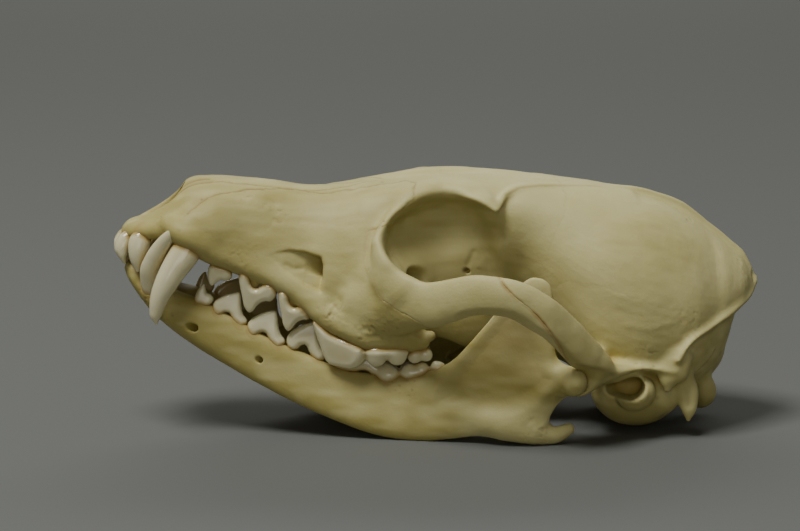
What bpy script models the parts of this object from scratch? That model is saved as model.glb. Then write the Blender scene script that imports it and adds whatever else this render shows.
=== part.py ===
"""Red fox skull with its lower jaw, life size, resting on its lower jaw and ear bulbs.

The snout points to -X and the left side faces -Y. Lengths are in millimetres and MM turns them into
metres. X runs from the incisors to the back of the skull, Y = 0 is the plane of symmetry, and Z = 0
is the surface that the skull rests on.
"""

import math
from collections import namedtuple

import bmesh
import bpy
import numpy as np
from mathutils import Matrix, Vector

MM = 0.001
LEFT, RIGHT = -1, 1
SIDES = {"left": LEFT, "right": RIGHT}

# How finely the bones are fused, in millimetres, and how many triangles each node keeps.
FUSE_VOXEL = 0.7
SMOOTHING = 0.5
CRANIUM_SMOOTHINGS, JAW_SMOOTHINGS = 4, 3
CRANIUM_TRIANGLES = 4600
JAW_TRIANGLES = 900
RING = 40
JAW_RING = 24
BLOB_RING = 24
BAR_RING = 16
CANINE_RING = 10
TOOTH_RING = 8

CRANIUM_COLOUR = (0.72, 0.66, 0.34)
CHEEK_COLOUR = (0.72, 0.66, 0.36)
JAW_COLOUR = (0.66, 0.58, 0.28)
ROUGHNESS = 0.5

# A section across the skull at x: its lowest and highest point, its half width, the height of its
# widest point, and how square its upper and lower halves are (2 is an ellipse).
Section = namedtuple("Section", "x low high half wide_z upper lower")

# Premaxilla, nasals and maxilla, back to the front of the orbit.
SNOUT = (
    Section(-72.4, 44.8, 45.8, 2.6, 45.3, 2.0, 2.0),
    Section(-71.2, 44.4, 47.2, 5.0, 45.5, 2.0, 2.2),
    Section(-68.6, 44.2, 48.8, 7.2, 46.0, 2.0, 2.4),
    Section(-65.6, 44.0, 50.6, 8.4, 46.6, 2.0, 2.4),
    Section(-62.4, 43.4, 53.0, 9.2, 46.9, 2.0, 2.4),
    Section(-60.0, 42.4, 55.2, 10.4, 46.4, 1.9, 2.8),
    Section(-57.6, 41.2, 57.2, 11.2, 45.8, 1.9, 3.0),
    Section(-54.6, 40.0, 58.1, 11.8, 44.8, 1.9, 3.0),
    Section(-51.0, 38.6, 58.1, 12.5, 43.6, 2.0, 3.4),
    Section(-45.0, 36.6, 57.7, 12.4, 41.4, 2.0, 3.6),
    Section(-38.0, 33.4, 57.0, 13.1, 38.4, 2.0, 3.8),
    Section(-31.0, 30.0, 55.9, 14.6, 35.2, 2.0, 3.6),
    Section(-25.0, 25.6, 55.8, 17.0, 32.0, 2.1, 3.6),
    Section(-18.0, 21.8, 56.5, 19.4, 29.0, 2.5, 4.0),
    Section(-12.0, 21.2, 57.3, 20.2, 26.8, 2.4, 4.0),
    Section(-6.4, 21.6, 57.5, 18.6, 26.0, 1.5, 3.4),
    Section(-3.0, 22.8, 57.6, 12.0, 28.0, 1.5, 2.4),
)

# The frontal shield over the orbits, out to the postorbital processes.
FOREHEAD = (
    Section(-24.0, 47.0, 55.4, 7.0, 51.0, 2.2, 2.0),
    Section(-15.0, 47.0, 56.5, 12.4, 52.2, 2.4, 2.0),
    Section(-8.0, 48.6, 58.2, 14.4, 54.2, 2.6, 2.0),
    Section(-1.0, 50.4, 59.0, 13.6, 55.6, 2.6, 2.0),
    Section(5.0, 50.4, 59.1, 14.6, 55.6, 2.4, 2.0),
    Section(9.6, 45.0, 59.0, 15.0, 53.4, 2.2, 2.2),
    Section(14.0, 34.0, 58.8, 15.0, 50.0, 2.2, 2.2),
    Section(19.0, 33.0, 58.2, 15.2, 48.8, 2.4, 2.2),
    Section(27.0, 36.0, 56.7, 15.6, 46.8, 2.2, 2.2),
    Section(36.0, 40.0, 55.5, 14.0, 45.0, 2.0, 2.0),
    Section(44.0, 40.0, 53.2, 9.0, 45.0, 2.0, 2.0),
)

# The walls between the orbits, down to the palatine and pterygoid bones.
ORBIT_WALL = (
    Section(-17.0, 24.0, 55.0, 13.6, 46.0, 2.6, 2.6),
    Section(-8.0, 23.0, 56.0, 12.2, 48.0, 2.6, 3.0),
    Section(0.0, 23.0, 56.0, 11.2, 49.0, 2.6, 3.0),
    Section(8.0, 21.6, 56.0, 10.6, 48.0, 2.6, 2.8),
    Section(15.0, 19.0, 54.0, 11.0, 46.0, 2.6, 2.4),
    Section(21.0, 16.6, 53.0, 13.2, 43.0, 2.4, 2.0),
    Section(28.0, 14.6, 52.0, 16.0, 38.0, 2.2, 2.0),
)

# The vault of the braincase, without its crests.
BRAINCASE = (
    Section(14.0, 34.0, 53.0, 8.5, 45.0, 2.0, 2.0),
    Section(18.0, 28.0, 56.0, 12.4, 44.0, 2.0, 2.0),
    Section(24.0, 20.0, 56.0, 16.8, 41.0, 2.1, 2.2),
    Section(31.0, 13.0, 55.6, 20.8, 36.0, 2.1, 2.8),
    Section(38.0, 9.4, 54.8, 23.2, 32.0, 2.1, 2.9),
    Section(45.0, 8.2, 53.4, 24.0, 29.0, 2.0, 2.7),
    Section(52.0, 7.8, 51.4, 22.8, 26.6, 1.9, 2.5),
    Section(58.0, 7.6, 48.2, 20.4, 25.8, 1.8, 2.3),
    Section(62.6, 10.0, 45.0, 16.6, 25.8, 1.75, 2.2),
    Section(66.0, 15.6, 42.2, 13.4, 27.6, 1.95, 2.0),
    Section(68.4, 24.8, 40.2, 11.0, 29.4, 1.9, 1.6),
    Section(70.6, 28.2, 38.4, 8.4, 30.8, 1.8, 1.5),
    Section(72.8, 31.0, 35.4, 4.0, 32.6, 1.7, 1.6),
)

# How deep the plate of the sagittal crest reaches, half its thickness, how much thinner its edge is, and
# how many rings it is made of.
CREST_DEPTH, CREST_HALF, CREST_TAPER, CREST_RINGS = 8.0, 0.9, 0.6, 24

# A stop on a swept bar: where it is, and its half height and half thickness there.
Stop = namedtuple("Stop", "x y z half_height half_thick")

ORBIT_RIM = (
    Stop(-3.0, 12.0, 54.8, 2.0, 2.0),
    Stop(-8.0, 15.0, 52.0, 2.2, 2.2),
    Stop(-12.0, 18.0, 48.4, 2.4, 1.9),
    Stop(-14.2, 20.4, 44.0, 2.8, 2.0),
    Stop(-13.2, 22.8, 39.6, 3.8, 2.3),
    Stop(-10.0, 24.0, 35.6, 5.0, 3.0),
)
CHEEK_BAR = (
    Stop(-18.0, 15.4, 34.0, 7.0, 4.0),
    Stop(-12.0, 21.6, 34.6, 6.6, 2.9),
    Stop(-5.0, 27.4, 33.2, 5.2, 2.3),
    Stop(2.0, 32.2, 34.8, 4.9, 1.9),
    Stop(8.0, 35.0, 35.9, 4.7, 1.8),
    Stop(13.6, 36.4, 35.5, 4.3, 1.8),
    Stop(20.0, 36.6, 32.2, 4.3, 1.8),
    Stop(26.0, 34.8, 26.9, 4.3, 2.0),
    Stop(31.2, 31.6, 21.2, 4.3, 2.6),
    Stop(37.0, 26.4, 16.9, 1.8, 3.6),
    Stop(44.0, 22.8, 16.9, 0.7, 2.8),
    Stop(52.0, 22.4, 15.9, 0.8, 2.0),
)
NUCHAL_CREST = (
    Stop(73.2, 0.0, 32.8, 0.9, 1.6),
    Stop(71.1, 5.8, 30.2, 0.8, 2.0),
    Stop(66.2, 12.0, 27.6, 0.8, 2.4),
    Stop(60.4, 17.2, 25.0, 0.8, 2.6),
    Stop(55.2, 21.2, 22.2, 0.8, 2.4),
    Stop(52.8, 21.8, 18.4, 0.9, 2.2),
)
# The sagittal crest: along x, the height of its edge.
SAGITTAL_CREST = (
    (34.0, 53.4), (40.0, 54.9), (46.0, 54.7), (51.0, 53.4), (56.7, 51.2), (63.0, 46.4), (68.4, 42.0),
    (72.0, 38.2), (73.9, 33.4),
)

CANINE_SWELLING = (Stop(-57.6, 10.2, 46.0, 3.4, 2.8), Stop(-54.2, 9.8, 47.2, 4.2, 2.9),
                   Stop(-49.0, 8.8, 48.6, 4.4, 2.9), Stop(-42.0, 7.4, 50.2, 3.4, 2.6))
# The bony edge that the upper cheek teeth stand in.
TOOTH_EDGE = (
    Stop(-57.0, 12.6, 45.4, 1.5, 1.5),
    Stop(-55.2, 12.2, 43.8, 1.5, 1.5), Stop(-53.0, 11.2, 42.2, 1.6, 1.5), Stop(-48.0, 10.4, 40.1, 1.8, 1.7),
    Stop(-43.0, 11.0, 38.1, 2.0, 1.8), Stop(-38.0, 11.8, 36.2, 2.1, 1.9), Stop(-33.0, 13.0, 33.7, 2.4, 2.1),
    Stop(-29.6, 14.2, 30.7, 2.6, 2.4), Stop(-26.1, 15.6, 28.0, 2.8, 2.6), Stop(-21.6, 17.6, 25.7, 2.8, 2.6),
    Stop(-17.1, 19.0, 23.6, 2.7, 2.2), Stop(-9.0, 18.6, 23.4, 2.7, 2.2), Stop(-4.8, 16.8, 23.4, 2.1, 2.0),
)
# The slope from the molars out to the cheekbone.
CHEEK_FOOT = (Stop(-20.0, 17.8, 31.0, 4.0, 2.2), Stop(-15.0, 20.2, 30.0, 4.6, 2.6), Stop(-10.0, 22.6, 29.8, 4.6, 2.6),
              Stop(-5.0, 25.4, 30.4, 3.4, 2.2), Stop(-1.5, 28.4, 30.6, 2.0, 1.6))
POSTORBITAL = (Stop(3.0, 7.0, 55.6, 2.2, 5.5), Stop(7.4, 12.4, 54.8, 2.0, 4.4), Stop(10.2, 15.8, 53.5, 1.5, 2.8),
               Stop(11.8, 17.6, 52.2, 0.8, 1.0))

# An ellipsoid: its centre, its three radii, and its turn about Z in radians.
Blob = namedtuple("Blob", "x y z rx ry rz turn")
BULLA = Blob(44.5, 12.6, 10.1, 9.6, 7.4, 10.4, 0.25)
CONDYLE = (Stop(61.6, 10.0, 14.4, 2.6, 2.6), Stop(62.0, 9.2, 9.4, 2.8, 3.0), Stop(60.4, 6.0, 6.6, 2.4, 2.6))
PARACONDYLAR = (Stop(56.0, 18.2, 16.0, 3.0, 3.4), Stop(56.8, 19.2, 9.0, 1.9, 2.4), Stop(55.8, 19.8, 4.2, 0.9, 1.2))


# Where the rings of a bar's rounded ends lie, in shares of the end's radius.
CAP_SHARES = (0.5, 0.87)


def ease(stations, at):
    """The value at a place along (place, value) stations, on a smooth curve through them."""
    xs = np.array([s[0] for s in stations], float)
    ys = np.array([s[1] for s in stations], float)
    slopes = np.gradient(ys, xs)
    rising = np.diff(ys) / np.diff(xs)
    for i in range(1, len(xs) - 1):
        if rising[i - 1] * rising[i] <= 0:
            slopes[i] = 0.0
    at = np.clip(at, xs[0], xs[-1])
    i = np.clip(np.searchsorted(xs, at, side="right") - 1, 0, len(xs) - 2)
    span = xs[i + 1] - xs[i]
    t = (at - xs[i]) / span
    a = (1 + 2 * t) * (1 - t) ** 2
    b = t * (1 - t) ** 2
    c = t * t * (3 - 2 * t)
    d = t * t * (t - 1)
    return a * ys[i] + b * span * slopes[i] + c * ys[i + 1] + d * span * slopes[i + 1]


def spread(rows, field, at):
    return ease([(row[0], getattr(row, field)) for row in rows], at)


def mesh_of_rings(name, rings):
    """A closed mesh through rings of points, with a fan over each end."""
    bm = bmesh.new()
    made = [[bm.verts.new(Vector(p) * MM) for p in ring] for ring in rings]
    count = len(made[0])
    for near, far in zip(made, made[1:]):
        for i in range(count):
            j = (i + 1) % count
            bm.faces.new((near[i], near[j], far[j], far[i]))
    for ring in (made[0], made[-1]):
        middle = bm.verts.new(sum((v.co for v in ring), Vector()) / count)
        for i in range(count):
            bm.faces.new((ring[i], ring[(i + 1) % count], middle))
    bmesh.ops.recalc_face_normals(bm, faces=bm.faces)
    mesh = bpy.data.meshes.new(name)
    bm.to_mesh(mesh)
    bm.free()
    return bpy.data.objects.new(name, mesh)


def section_loft(name, rows, step=1.5):
    """A body through sections across the skull, each a pair of half superellipses."""
    turns = np.linspace(0, 2 * math.pi, RING, endpoint=False)
    count = max(2, round((rows[-1].x - rows[0].x) / step))
    rings = []
    for x in np.linspace(rows[0].x, rows[-1].x, count):
        size = {field: spread(rows, field, x) for field in Section._fields[1:]}
        ring = []
        for turn in turns:
            up = math.sin(turn) >= 0
            square = 2 / (size["upper"] if up else size["lower"])
            reach = size["high"] - size["wide_z"] if up else size["wide_z"] - size["low"]
            y = size["half"] * math.copysign(abs(math.cos(turn)) ** square, math.cos(turn))
            z = size["wide_z"] + reach * math.copysign(abs(math.sin(turn)) ** square, math.sin(turn))
            ring.append((x, y, z))
        rings.append(ring)
    return mesh_of_rings(name, rings)


def curve_through(points, per_span=6):
    """Points on a smooth curve through rows of numbers, whatever each row holds."""
    rows = np.array(points, float)
    place = np.concatenate([[0], np.cumsum(np.linalg.norm(np.diff(rows[:, :3], axis=0), axis=1))])
    at = np.linspace(0, place[-1], per_span * (len(rows) - 1) + 1)
    return np.stack([ease(list(zip(place, rows[:, k])), at) for k in range(rows.shape[1])], axis=1)


def bar(name, stops, side=RIGHT, ring=BAR_RING, up=(0, 0, 1), per_span=6):
    """A bar with an elliptical section, swept through its stops and rounded at its ends."""
    path = curve_through(stops, per_span)
    centres = path[:, :3] * (1, side, 1)
    ahead = np.gradient(centres, axis=0)
    ahead /= np.linalg.norm(ahead, axis=1, keepdims=True)
    turns = np.linspace(0, 2 * math.pi, ring, endpoint=False)
    rings = []
    for centre, way, tall, thick in zip(centres, ahead, path[:, 3], path[:, 4]):
        across = np.cross(way, up)
        across /= np.linalg.norm(across)
        high = np.cross(across, way)
        rings.append([centre + high * tall * math.sin(a) + across * thick * math.cos(a) for a in turns])
    for end, sign in ((0, -1), (-1, 1)):
        cap = []
        for share in CAP_SHARES:
            drop = math.sqrt(1 - share**2)
            reach = min(path[end, 3], path[end, 4]) * share * sign
            cap.append([centres[end] + (p - centres[end]) * drop + ahead[end] * reach for p in rings[end]])
        rings = cap[::-1] + rings if end == 0 else rings + cap
    return mesh_of_rings(name, rings)


def blob(name, spec, side):
    """An ellipsoid, on the left or on the right."""
    bm = bmesh.new()
    bmesh.ops.create_uvsphere(bm, u_segments=BLOB_RING, v_segments=BLOB_RING // 2, radius=1.0)
    place = Matrix.Translation(Vector((spec.x, spec.y * side, spec.z)) * MM)
    spin = Matrix.Rotation(-spec.turn * side, 4, "Z")
    bm.transform(place @ spin @ Matrix.Diagonal((spec.rx * MM, spec.ry * MM, spec.rz * MM, 1)))
    mesh = bpy.data.meshes.new(name)
    bm.to_mesh(mesh)
    bm.free()
    return bpy.data.objects.new(name, mesh)


def crest_plate(name, edge, depth, half):
    """A thin upright plate on the midline: its edge follows (x, z) stations and its foot is depth lower."""
    rings = []
    for x in np.linspace(edge[0][0], edge[-1][0], CREST_RINGS):
        top = float(ease(edge, x))
        edge_half = half * CREST_TAPER
        rings.append([(x, -half, top - depth), (x, half, top - depth), (x, edge_half, top), (x, -edge_half, top)])
    return mesh_of_rings(name, rings)


# A cusp of a tooth: its place on the gum line, its length along the row, its width and height,
# how far its tip leans along the row and outwards, and how long its root is.
Cusp = namedtuple("Cusp", "x y z length width height ahead out root")

# How far the tooth rows pitch down towards the back, in degrees.
ROW_PITCH = 29.0
# A crown's width at its root's end, and then along its height, in shares of its width and its height.
ROOT_SHARE = 0.72
CROWN = ((0, 0.94), (0.18, 1.0), (0.5, 0.7), (0.93, 0.2))
UPPER_TEETH = (
    Cusp(-72.5, 1.5, 45.2, 2.8, 3.4, 6.6, 1.6, 0.2, 3.0),
    Cusp(-71.5, 4.3, 44.8, 3.0, 3.6, 7.0, 1.6, 0.4, 3.0),
    Cusp(-68.6, 6.8, 44.2, 4.0, 3.8, 7.6, 1.2, 0.3, 3.0),
    Cusp(-50.3, 10.4, 38.4, 4.6, 2.8, 4.6, 0.8, 0.2, 2.4),
    Cusp(-41.4, 11.8, 35.8, 8.8, 3.2, 8.2, 1.2, 0.3, 3.0),
    Cusp(-32.8, 13.6, 31.8, 8.8, 3.4, 8.4, 1.2, 0.4, 3.0),
    Cusp(-24.0, 16.6, 27.0, 9.6, 4.4, 11.4, 3.4, 0.2, 3.0),
    Cusp(-18.8, 18.4, 23.8, 7.2, 4.2, 7.0, 1.6, 0.2, 3.0),
    Cusp(-27.2, 13.8, 28.4, 3.6, 3.4, 4.0, 0.8, 0.0, 2.4),
    Cusp(-14.4, 19.4, 22.6, 5.4, 4.6, 5.4, 1.0, -0.2, 2.6),
    Cusp(-9.8, 19.6, 22.0, 5.0, 4.4, 4.6, 1.0, -0.2, 2.6),
    Cusp(-11.4, 15.2, 22.4, 7.0, 6.0, 2.4, 0.6, 0.0, 2.6),
    Cusp(-5.6, 17.2, 21.8, 4.6, 5.0, 2.8, 0.6, -0.2, 2.4),
    Cusp(-5.2, 14.0, 21.8, 4.0, 4.0, 1.7, 0.4, 0.0, 2.4),
)
UPPER_CANINE = (
    Stop(-55.6, 9.4, 48.6, 2.6, 1.8),
    Stop(-57.8, 11.7, 41.6, 3.8, 2.4),
    Stop(-61.2, 12.6, 35.2, 3.1, 2.1),
    Stop(-63.8, 12.9, 29.8, 2.0, 1.5),
    Stop(-65.2, 12.6, 26.3, 0.7, 0.6),
)
LOWER_TEETH = (
    Cusp(-70.8, 1.4, 38.2, 2.0, 2.0, 3.0, -0.8, 0.0, 2.4),
    Cusp(-69.8, 3.1, 37.8, 2.0, 2.0, 3.0, -0.8, -0.1, 2.4),
    Cusp(-68.4, 4.6, 37.2, 2.4, 2.2, 3.2, -0.8, -0.2, 2.4),
    Cusp(-54.2, 7.9, 29.6, 3.6, 2.4, 4.0, -1.4, 0.0, 2.4),
    Cusp(-47.2, 8.7, 26.2, 7.6, 2.9, 7.6, -3.0, 0.0, 3.0),
    Cusp(-38.8, 10.4, 21.8, 8.4, 3.0, 7.8, -3.0, 0.0, 3.0),
    Cusp(-30.6, 11.8, 18.2, 8.8, 3.2, 8.0, -3.0, 0.0, 3.0),
    Cusp(-23.8, 12.5, 15.6, 5.8, 3.8, 6.6, -2.4, -0.2, 3.0),
    Cusp(-19.6, 12.8, 14.6, 6.8, 3.9, 6.6, -2.4, -0.5, 3.0),
    Cusp(-14.2, 14.2, 13.8, 6.2, 4.4, 3.6, -0.8, -0.3, 3.0),
    Cusp(-7.0, 15.8, 14.4, 6.4, 4.4, 3.4, -0.8, -0.2, 2.6),
    Cusp(-2.0, 17.0, 15.4, 3.2, 2.8, 1.8, -0.4, 0.0, 2.4),
)
LOWER_CANINE = (
    Stop(-65.4, 6.6, 31.0, 2.5, 1.9),
    Stop(-66.3, 8.0, 37.0, 2.4, 1.9),
    Stop(-65.2, 9.6, 42.4, 1.8, 1.5),
    Stop(-62.4, 11.0, 47.0, 0.6, 0.5),
)

# A slice through the lower jaw, from its lower border to its upper one: where those are seen from
# the side, how far out they lie, and half the thickness near each.
Slice = namedtuple("Slice", "low_x low_z high_x high_z low_y high_y low_half high_half")
JAW = (
    Slice(-72.2, 37.2, -71.4, 39.2, 1.6, 1.8, 2.2, 2.0),
    Slice(-71.0, 34.4, -69.6, 38.2, 2.4, 2.9, 3.4, 3.1),
    Slice(-67.6, 29.6, -65.2, 35.4, 3.8, 4.4, 4.8, 4.4),
    Slice(-63.2, 25.0, -60.4, 32.4, 4.6, 5.0, 5.4, 4.6),
    Slice(-57.0, 20.4, -54.2, 30.4, 6.2, 7.4, 4.8, 2.8),
    Slice(-49.4, 15.9, -47.4, 26.9, 8.8, 9.0, 3.0, 2.1),
    Slice(-41.3, 11.4, -39.4, 22.5, 11.0, 10.6, 2.7, 2.2),
    Slice(-32.3, 7.0, -30.9, 18.9, 13.4, 12.2, 2.7, 2.3),
    Slice(-23.2, 3.4, -22.0, 15.4, 15.6, 13.6, 2.8, 2.5),
    Slice(-13.6, 0.5, -12.4, 14.2, 17.6, 15.2, 2.8, 2.6),
    Slice(-5.6, -0.2, -5.2, 15.0, 19.4, 17.2, 2.7, 2.4),
    Slice(1.0, 0.5, 0.2, 17.0, 21.0, 19.2, 2.6, 1.9),
    Slice(6.6, 1.6, 4.4, 20.9, 22.8, 21.4, 2.4, 1.8),
    Slice(11.6, 2.0, 10.6, 28.8, 24.6, 23.6, 2.2, 1.6),
    Slice(15.6, 2.0, 15.4, 35.2, 25.6, 25.0, 2.0, 1.4),
    Slice(19.6, 2.8, 19.6, 38.4, 26.0, 26.2, 1.8, 1.2),
    Slice(22.4, 5.0, 22.4, 37.6, 26.2, 26.6, 1.7, 1.1),
    Slice(23.6, 7.0, 23.8, 35.0, 26.2, 26.6, 1.6, 1.1),
    Slice(24.3, 8.2, 24.0, 28.0, 26.2, 26.6, 1.5, 1.1),
    Slice(25.3, 9.4, 24.7, 21.2, 25.8, 26.8, 1.4, 1.1),
    Slice(27.4, 11.4, 26.8, 18.4, 26.2, 27.2, 1.3, 1.0),
)
# How square the jaw's section is: 1 is an ellipse and less is squarer.
JAW_SQUARE = 0.75
JAW_CONDYLE = (
    Stop(29.0, 22.4, 15.0, 2.0, 1.7), Stop(28.8, 25.6, 15.2, 2.6, 2.3),
    Stop(28.6, 29.4, 15.6, 2.6, 2.2), Stop(28.4, 32.4, 15.9, 1.9, 1.6),
)
ANGULAR_PROCESS = (
    Stop(11.0, 24.4, 5.6, 1.6, 1.6), Stop(15.0, 25.2, 4.0, 2.2, 1.9), Stop(19.5, 25.4, 2.5, 2.2, 2.0),
    Stop(24.6, 25.0, 2.2, 2.2, 1.8), Stop(28.2, 24.4, 3.3, 1.4, 1.2),
)


def finished(name, obj):
    """The object with its modifiers applied, under a name of its own."""
    graph = bpy.context.evaluated_depsgraph_get()
    mesh = bpy.data.meshes.new_from_object(obj.evaluated_get(graph))
    obj.modifiers.clear()
    obj.data = mesh
    obj.name = name
    mesh.name = name
    return obj


def linked(obj):
    bpy.context.scene.collection.objects.link(obj)
    return obj


def boolean(obj, operation, pieces):
    """Join or cut an object with closed pieces, in one step, and remove the pieces."""
    group = bpy.data.collections.new("pieces")
    bpy.context.scene.collection.children.link(group)
    for piece in pieces:
        group.objects.link(piece)
    step = obj.modifiers.new(operation, "BOOLEAN")
    step.operation = operation
    step.operand_type = "COLLECTION"
    step.collection = group
    step.solver = "MANIFOLD"
    finished(obj.name, obj)
    for piece in pieces:
        bpy.data.objects.remove(piece)
    bpy.data.collections.remove(group)
    return obj


def fused(name, pieces, smoothings, cutters=()):
    """One bone from overlapping pieces: joined, cut, wrapped in an even net, and smoothed."""
    body = linked(pieces[0])
    boolean(body, "UNION", pieces[1:])
    if cutters:
        boolean(body, "DIFFERENCE", cutters)
    wrap = body.modifiers.new("Remesh", "REMESH")
    wrap.mode = "VOXEL"
    wrap.voxel_size = FUSE_VOXEL * MM
    even = body.modifiers.new("Smooth", "SMOOTH")
    even.factor = SMOOTHING
    even.iterations = smoothings
    return finished(name, body)


def thinned(obj, triangles):
    count = sum(len(face.vertices) - 2 for face in obj.data.polygons)
    fewer = obj.modifiers.new("Decimate", "DECIMATE")
    fewer.ratio = triangles / count
    return finished(obj.name, obj)


def largest_surface(obj):
    """Keep only the object's largest closed surface."""
    bm = bmesh.new()
    bm.from_mesh(obj.data)
    bm.verts.ensure_lookup_table()
    seen = set()
    parts = []
    for start in bm.verts:
        if start.index in seen:
            continue
        part, edge_of = [], [start]
        seen.add(start.index)
        while edge_of:
            vert = edge_of.pop()
            part.append(vert)
            for edge in vert.link_edges:
                other = edge.other_vert(vert)
                if other.index not in seen:
                    seen.add(other.index)
                    edge_of.append(other)
        parts.append(part)
    parts.sort(key=len)
    bmesh.ops.delete(bm, geom=[v for part in parts[:-1] for v in part], context="VERTS")
    bm.to_mesh(obj.data)
    bm.free()
    return obj


def cusp(name, spec, side, way):
    """A tooth's crown that narrows to a cusp, with its root. way is -1 for an upper tooth."""
    pitch = math.radians(ROW_PITCH)
    along = np.array((math.cos(pitch), 0, -math.sin(pitch)))
    grow = np.array((math.sin(pitch), 0, math.cos(pitch))) * way
    across = np.array((0, side, 0))
    base = np.array((spec.x, spec.y * side, spec.z))
    shape = ((-spec.root / spec.height, ROOT_SHARE), *CROWN)
    turns = np.linspace(0, 2 * math.pi, TOOTH_RING, endpoint=False)
    rings = []
    for rise, share in shape:
        lean = max(rise, 0)
        middle = base + grow * rise * spec.height + (along * spec.ahead + across * spec.out) * lean
        rings.append([middle + along * math.cos(a) * spec.length / 2 * share
                      + across * math.sin(a) * spec.width / 2 * share for a in turns])
    return mesh_of_rings(name, rings)


def teeth(upper, side):
    """The crowns and roots of one side, upper or lower."""
    way = -1 if upper else 1
    row = UPPER_TEETH if upper else LOWER_TEETH
    made = [cusp("cusp", spec, side, way) for spec in row]
    canine = UPPER_CANINE if upper else LOWER_CANINE
    made.append(bar("canine", canine, side, ring=CANINE_RING, up=(0.5, 0, 1), per_span=3))
    return made


def jaw_loft(name, side):
    """The body and ramus of one half of the lower jaw, through its slices."""
    rows = curve_through_rows(JAW, 4)
    turns = np.linspace(0, 2 * math.pi, JAW_RING, endpoint=False)
    rings = []
    for row in rows:
        low = np.array((row[0], row[4] * side, row[1]))
        high = np.array((row[2], row[5] * side, row[3]))
        ring = []
        for turn in turns:
            rise = (1 + math.copysign(abs(math.sin(turn)) ** JAW_SQUARE, math.sin(turn))) / 2
            half = row[6] + (row[7] - row[6]) * rise
            out = math.copysign(abs(math.cos(turn)) ** JAW_SQUARE, math.cos(turn)) * half
            ring.append(low + (high - low) * rise + np.array((0, out, 0)))
        rings.append(ring)
    return mesh_of_rings(name, rings)


def curve_through_rows(rows, per_span):
    """Every field of the rows, eased from row to row."""
    table = np.array(rows, float)
    at = np.linspace(0, len(rows) - 1, per_span * (len(rows) - 1) + 1)
    return np.stack([ease(list(enumerate(table[:, k])), at) for k in range(table.shape[1])], axis=1)


def box(name, low, high):
    bm = bmesh.new()
    bmesh.ops.create_cube(bm, size=1.0)
    size = [h - l for l, h in zip(low, high)]
    centre = [(h + l) / 2 for l, h in zip(low, high)]
    bm.transform(Matrix.Translation(Vector(centre) * MM) @ Matrix.Diagonal((*(s * MM for s in size), 1)))
    mesh = bpy.data.meshes.new(name)
    bm.to_mesh(mesh)
    bm.free()
    return bpy.data.objects.new(name, mesh)


def side_prism(name, outline, inner, outer, side):
    """A prism whose outline is drawn in X and Z and which runs from inner to outer along Y."""
    near = [(x, inner * side, z) for x, z in outline]
    far = [(x, outer * side, z) for x, z in outline]
    return mesh_of_rings(name, [near, far])


# The cheekbone's joints, in X and Z: in front with the maxilla and behind with the temporal bone.
CHEEK_FRONT = ((-12.0, 47.0), (-16.0, 43.0), (-17.4, 39.0), (-15.4, 34.0), (-12.4, 30.0), (-11.0, 24.0))
CHEEK_BACK = ((27.4, 17.0), (25.4, 23.0), (22.0, 28.6), (17.7, 33.6), (14.0, 36.6), (11.4, 39.6), (10.4, 46.0))
CHEEK_INNER = 21.4
JOINT_GAP = 0.3
# How much wider the jaw's socket is than the jaw's ball, all round.
GLENOID_PLAY = 0.45

# What is cut away below the surface that the skull rests on.
FLOOR_LOW, FLOOR_HIGH = (-100, -60, -20), (100, 60, 0)
# How far the prism round the cheekbone reaches, and the box beyond the middle that parts the two jaws.
CHEEK_OUTER = 50.0
BEYOND_LOW, BEYOND_HIGH, BEYOND_SIDE = (-100, -5), (100, 90), 60

CHOANA = (Stop(40.0, 0.0, 9.0, 5.0, 3.6), Stop(24.0, 0.0, 16.0, 5.0, 4.8), Stop(10.0, 0.0, 23.0, 4.6, 4.8),
          Stop(-2.0, 0.0, 27.0, 3.4, 4.4))
NOSTRIL = (Stop(-78.0, 0.0, 56.0, 8.0, 4.6), Stop(-70.0, 0.0, 55.4, 7.4, 4.7), Stop(-62.0, 0.0, 53.4, 5.2, 4.8),
           Stop(-54.0, 0.0, 51.4, 4.4, 4.8), Stop(-44.0, 0.0, 50.6, 3.6, 4.0))
INFRAORBITAL = (Stop(-39.0, 15.4, 41.0, 1.6, 1.4), Stop(-33.0, 13.8, 39.8, 2.6, 1.8),
                Stop(-28.0, 12.7, 38.8, 2.7, 1.9), Stop(-20.0, 12.0, 37.6, 2.4, 1.8))
MEATUS = (Stop(42.0, 26.0, 12.0, 2.6, 3.6), Stop(42.2, 19.6, 11.6, 2.5, 3.2), Stop(43.0, 13.0, 10.6, 2.2, 2.4))
FORAMEN_MAGNUM = (Stop(74.0, 0.0, 13.0, 5.2, 6.4), Stop(66.0, 0.0, 13.0, 5.2, 6.6), Stop(52.0, 0.0, 15.4, 5.0, 6.0))
ORBIT = Blob(1.4, 22.0, 46.6, 14.8, 12.2, 10.4, 0.0)
LACRIMAL = Blob(-14.0, 13.4, 49.6, 5.0, 3.4, 4.4, 0.0)
POSTGLENOID = Blob(31.6, 25.4, 15.4, 1.7, 5.6, 5.4, 0.0)
MASTOID = Blob(50.4, 22.0, 13.0, 3.2, 2.4, 4.4, 0.0)


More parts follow.
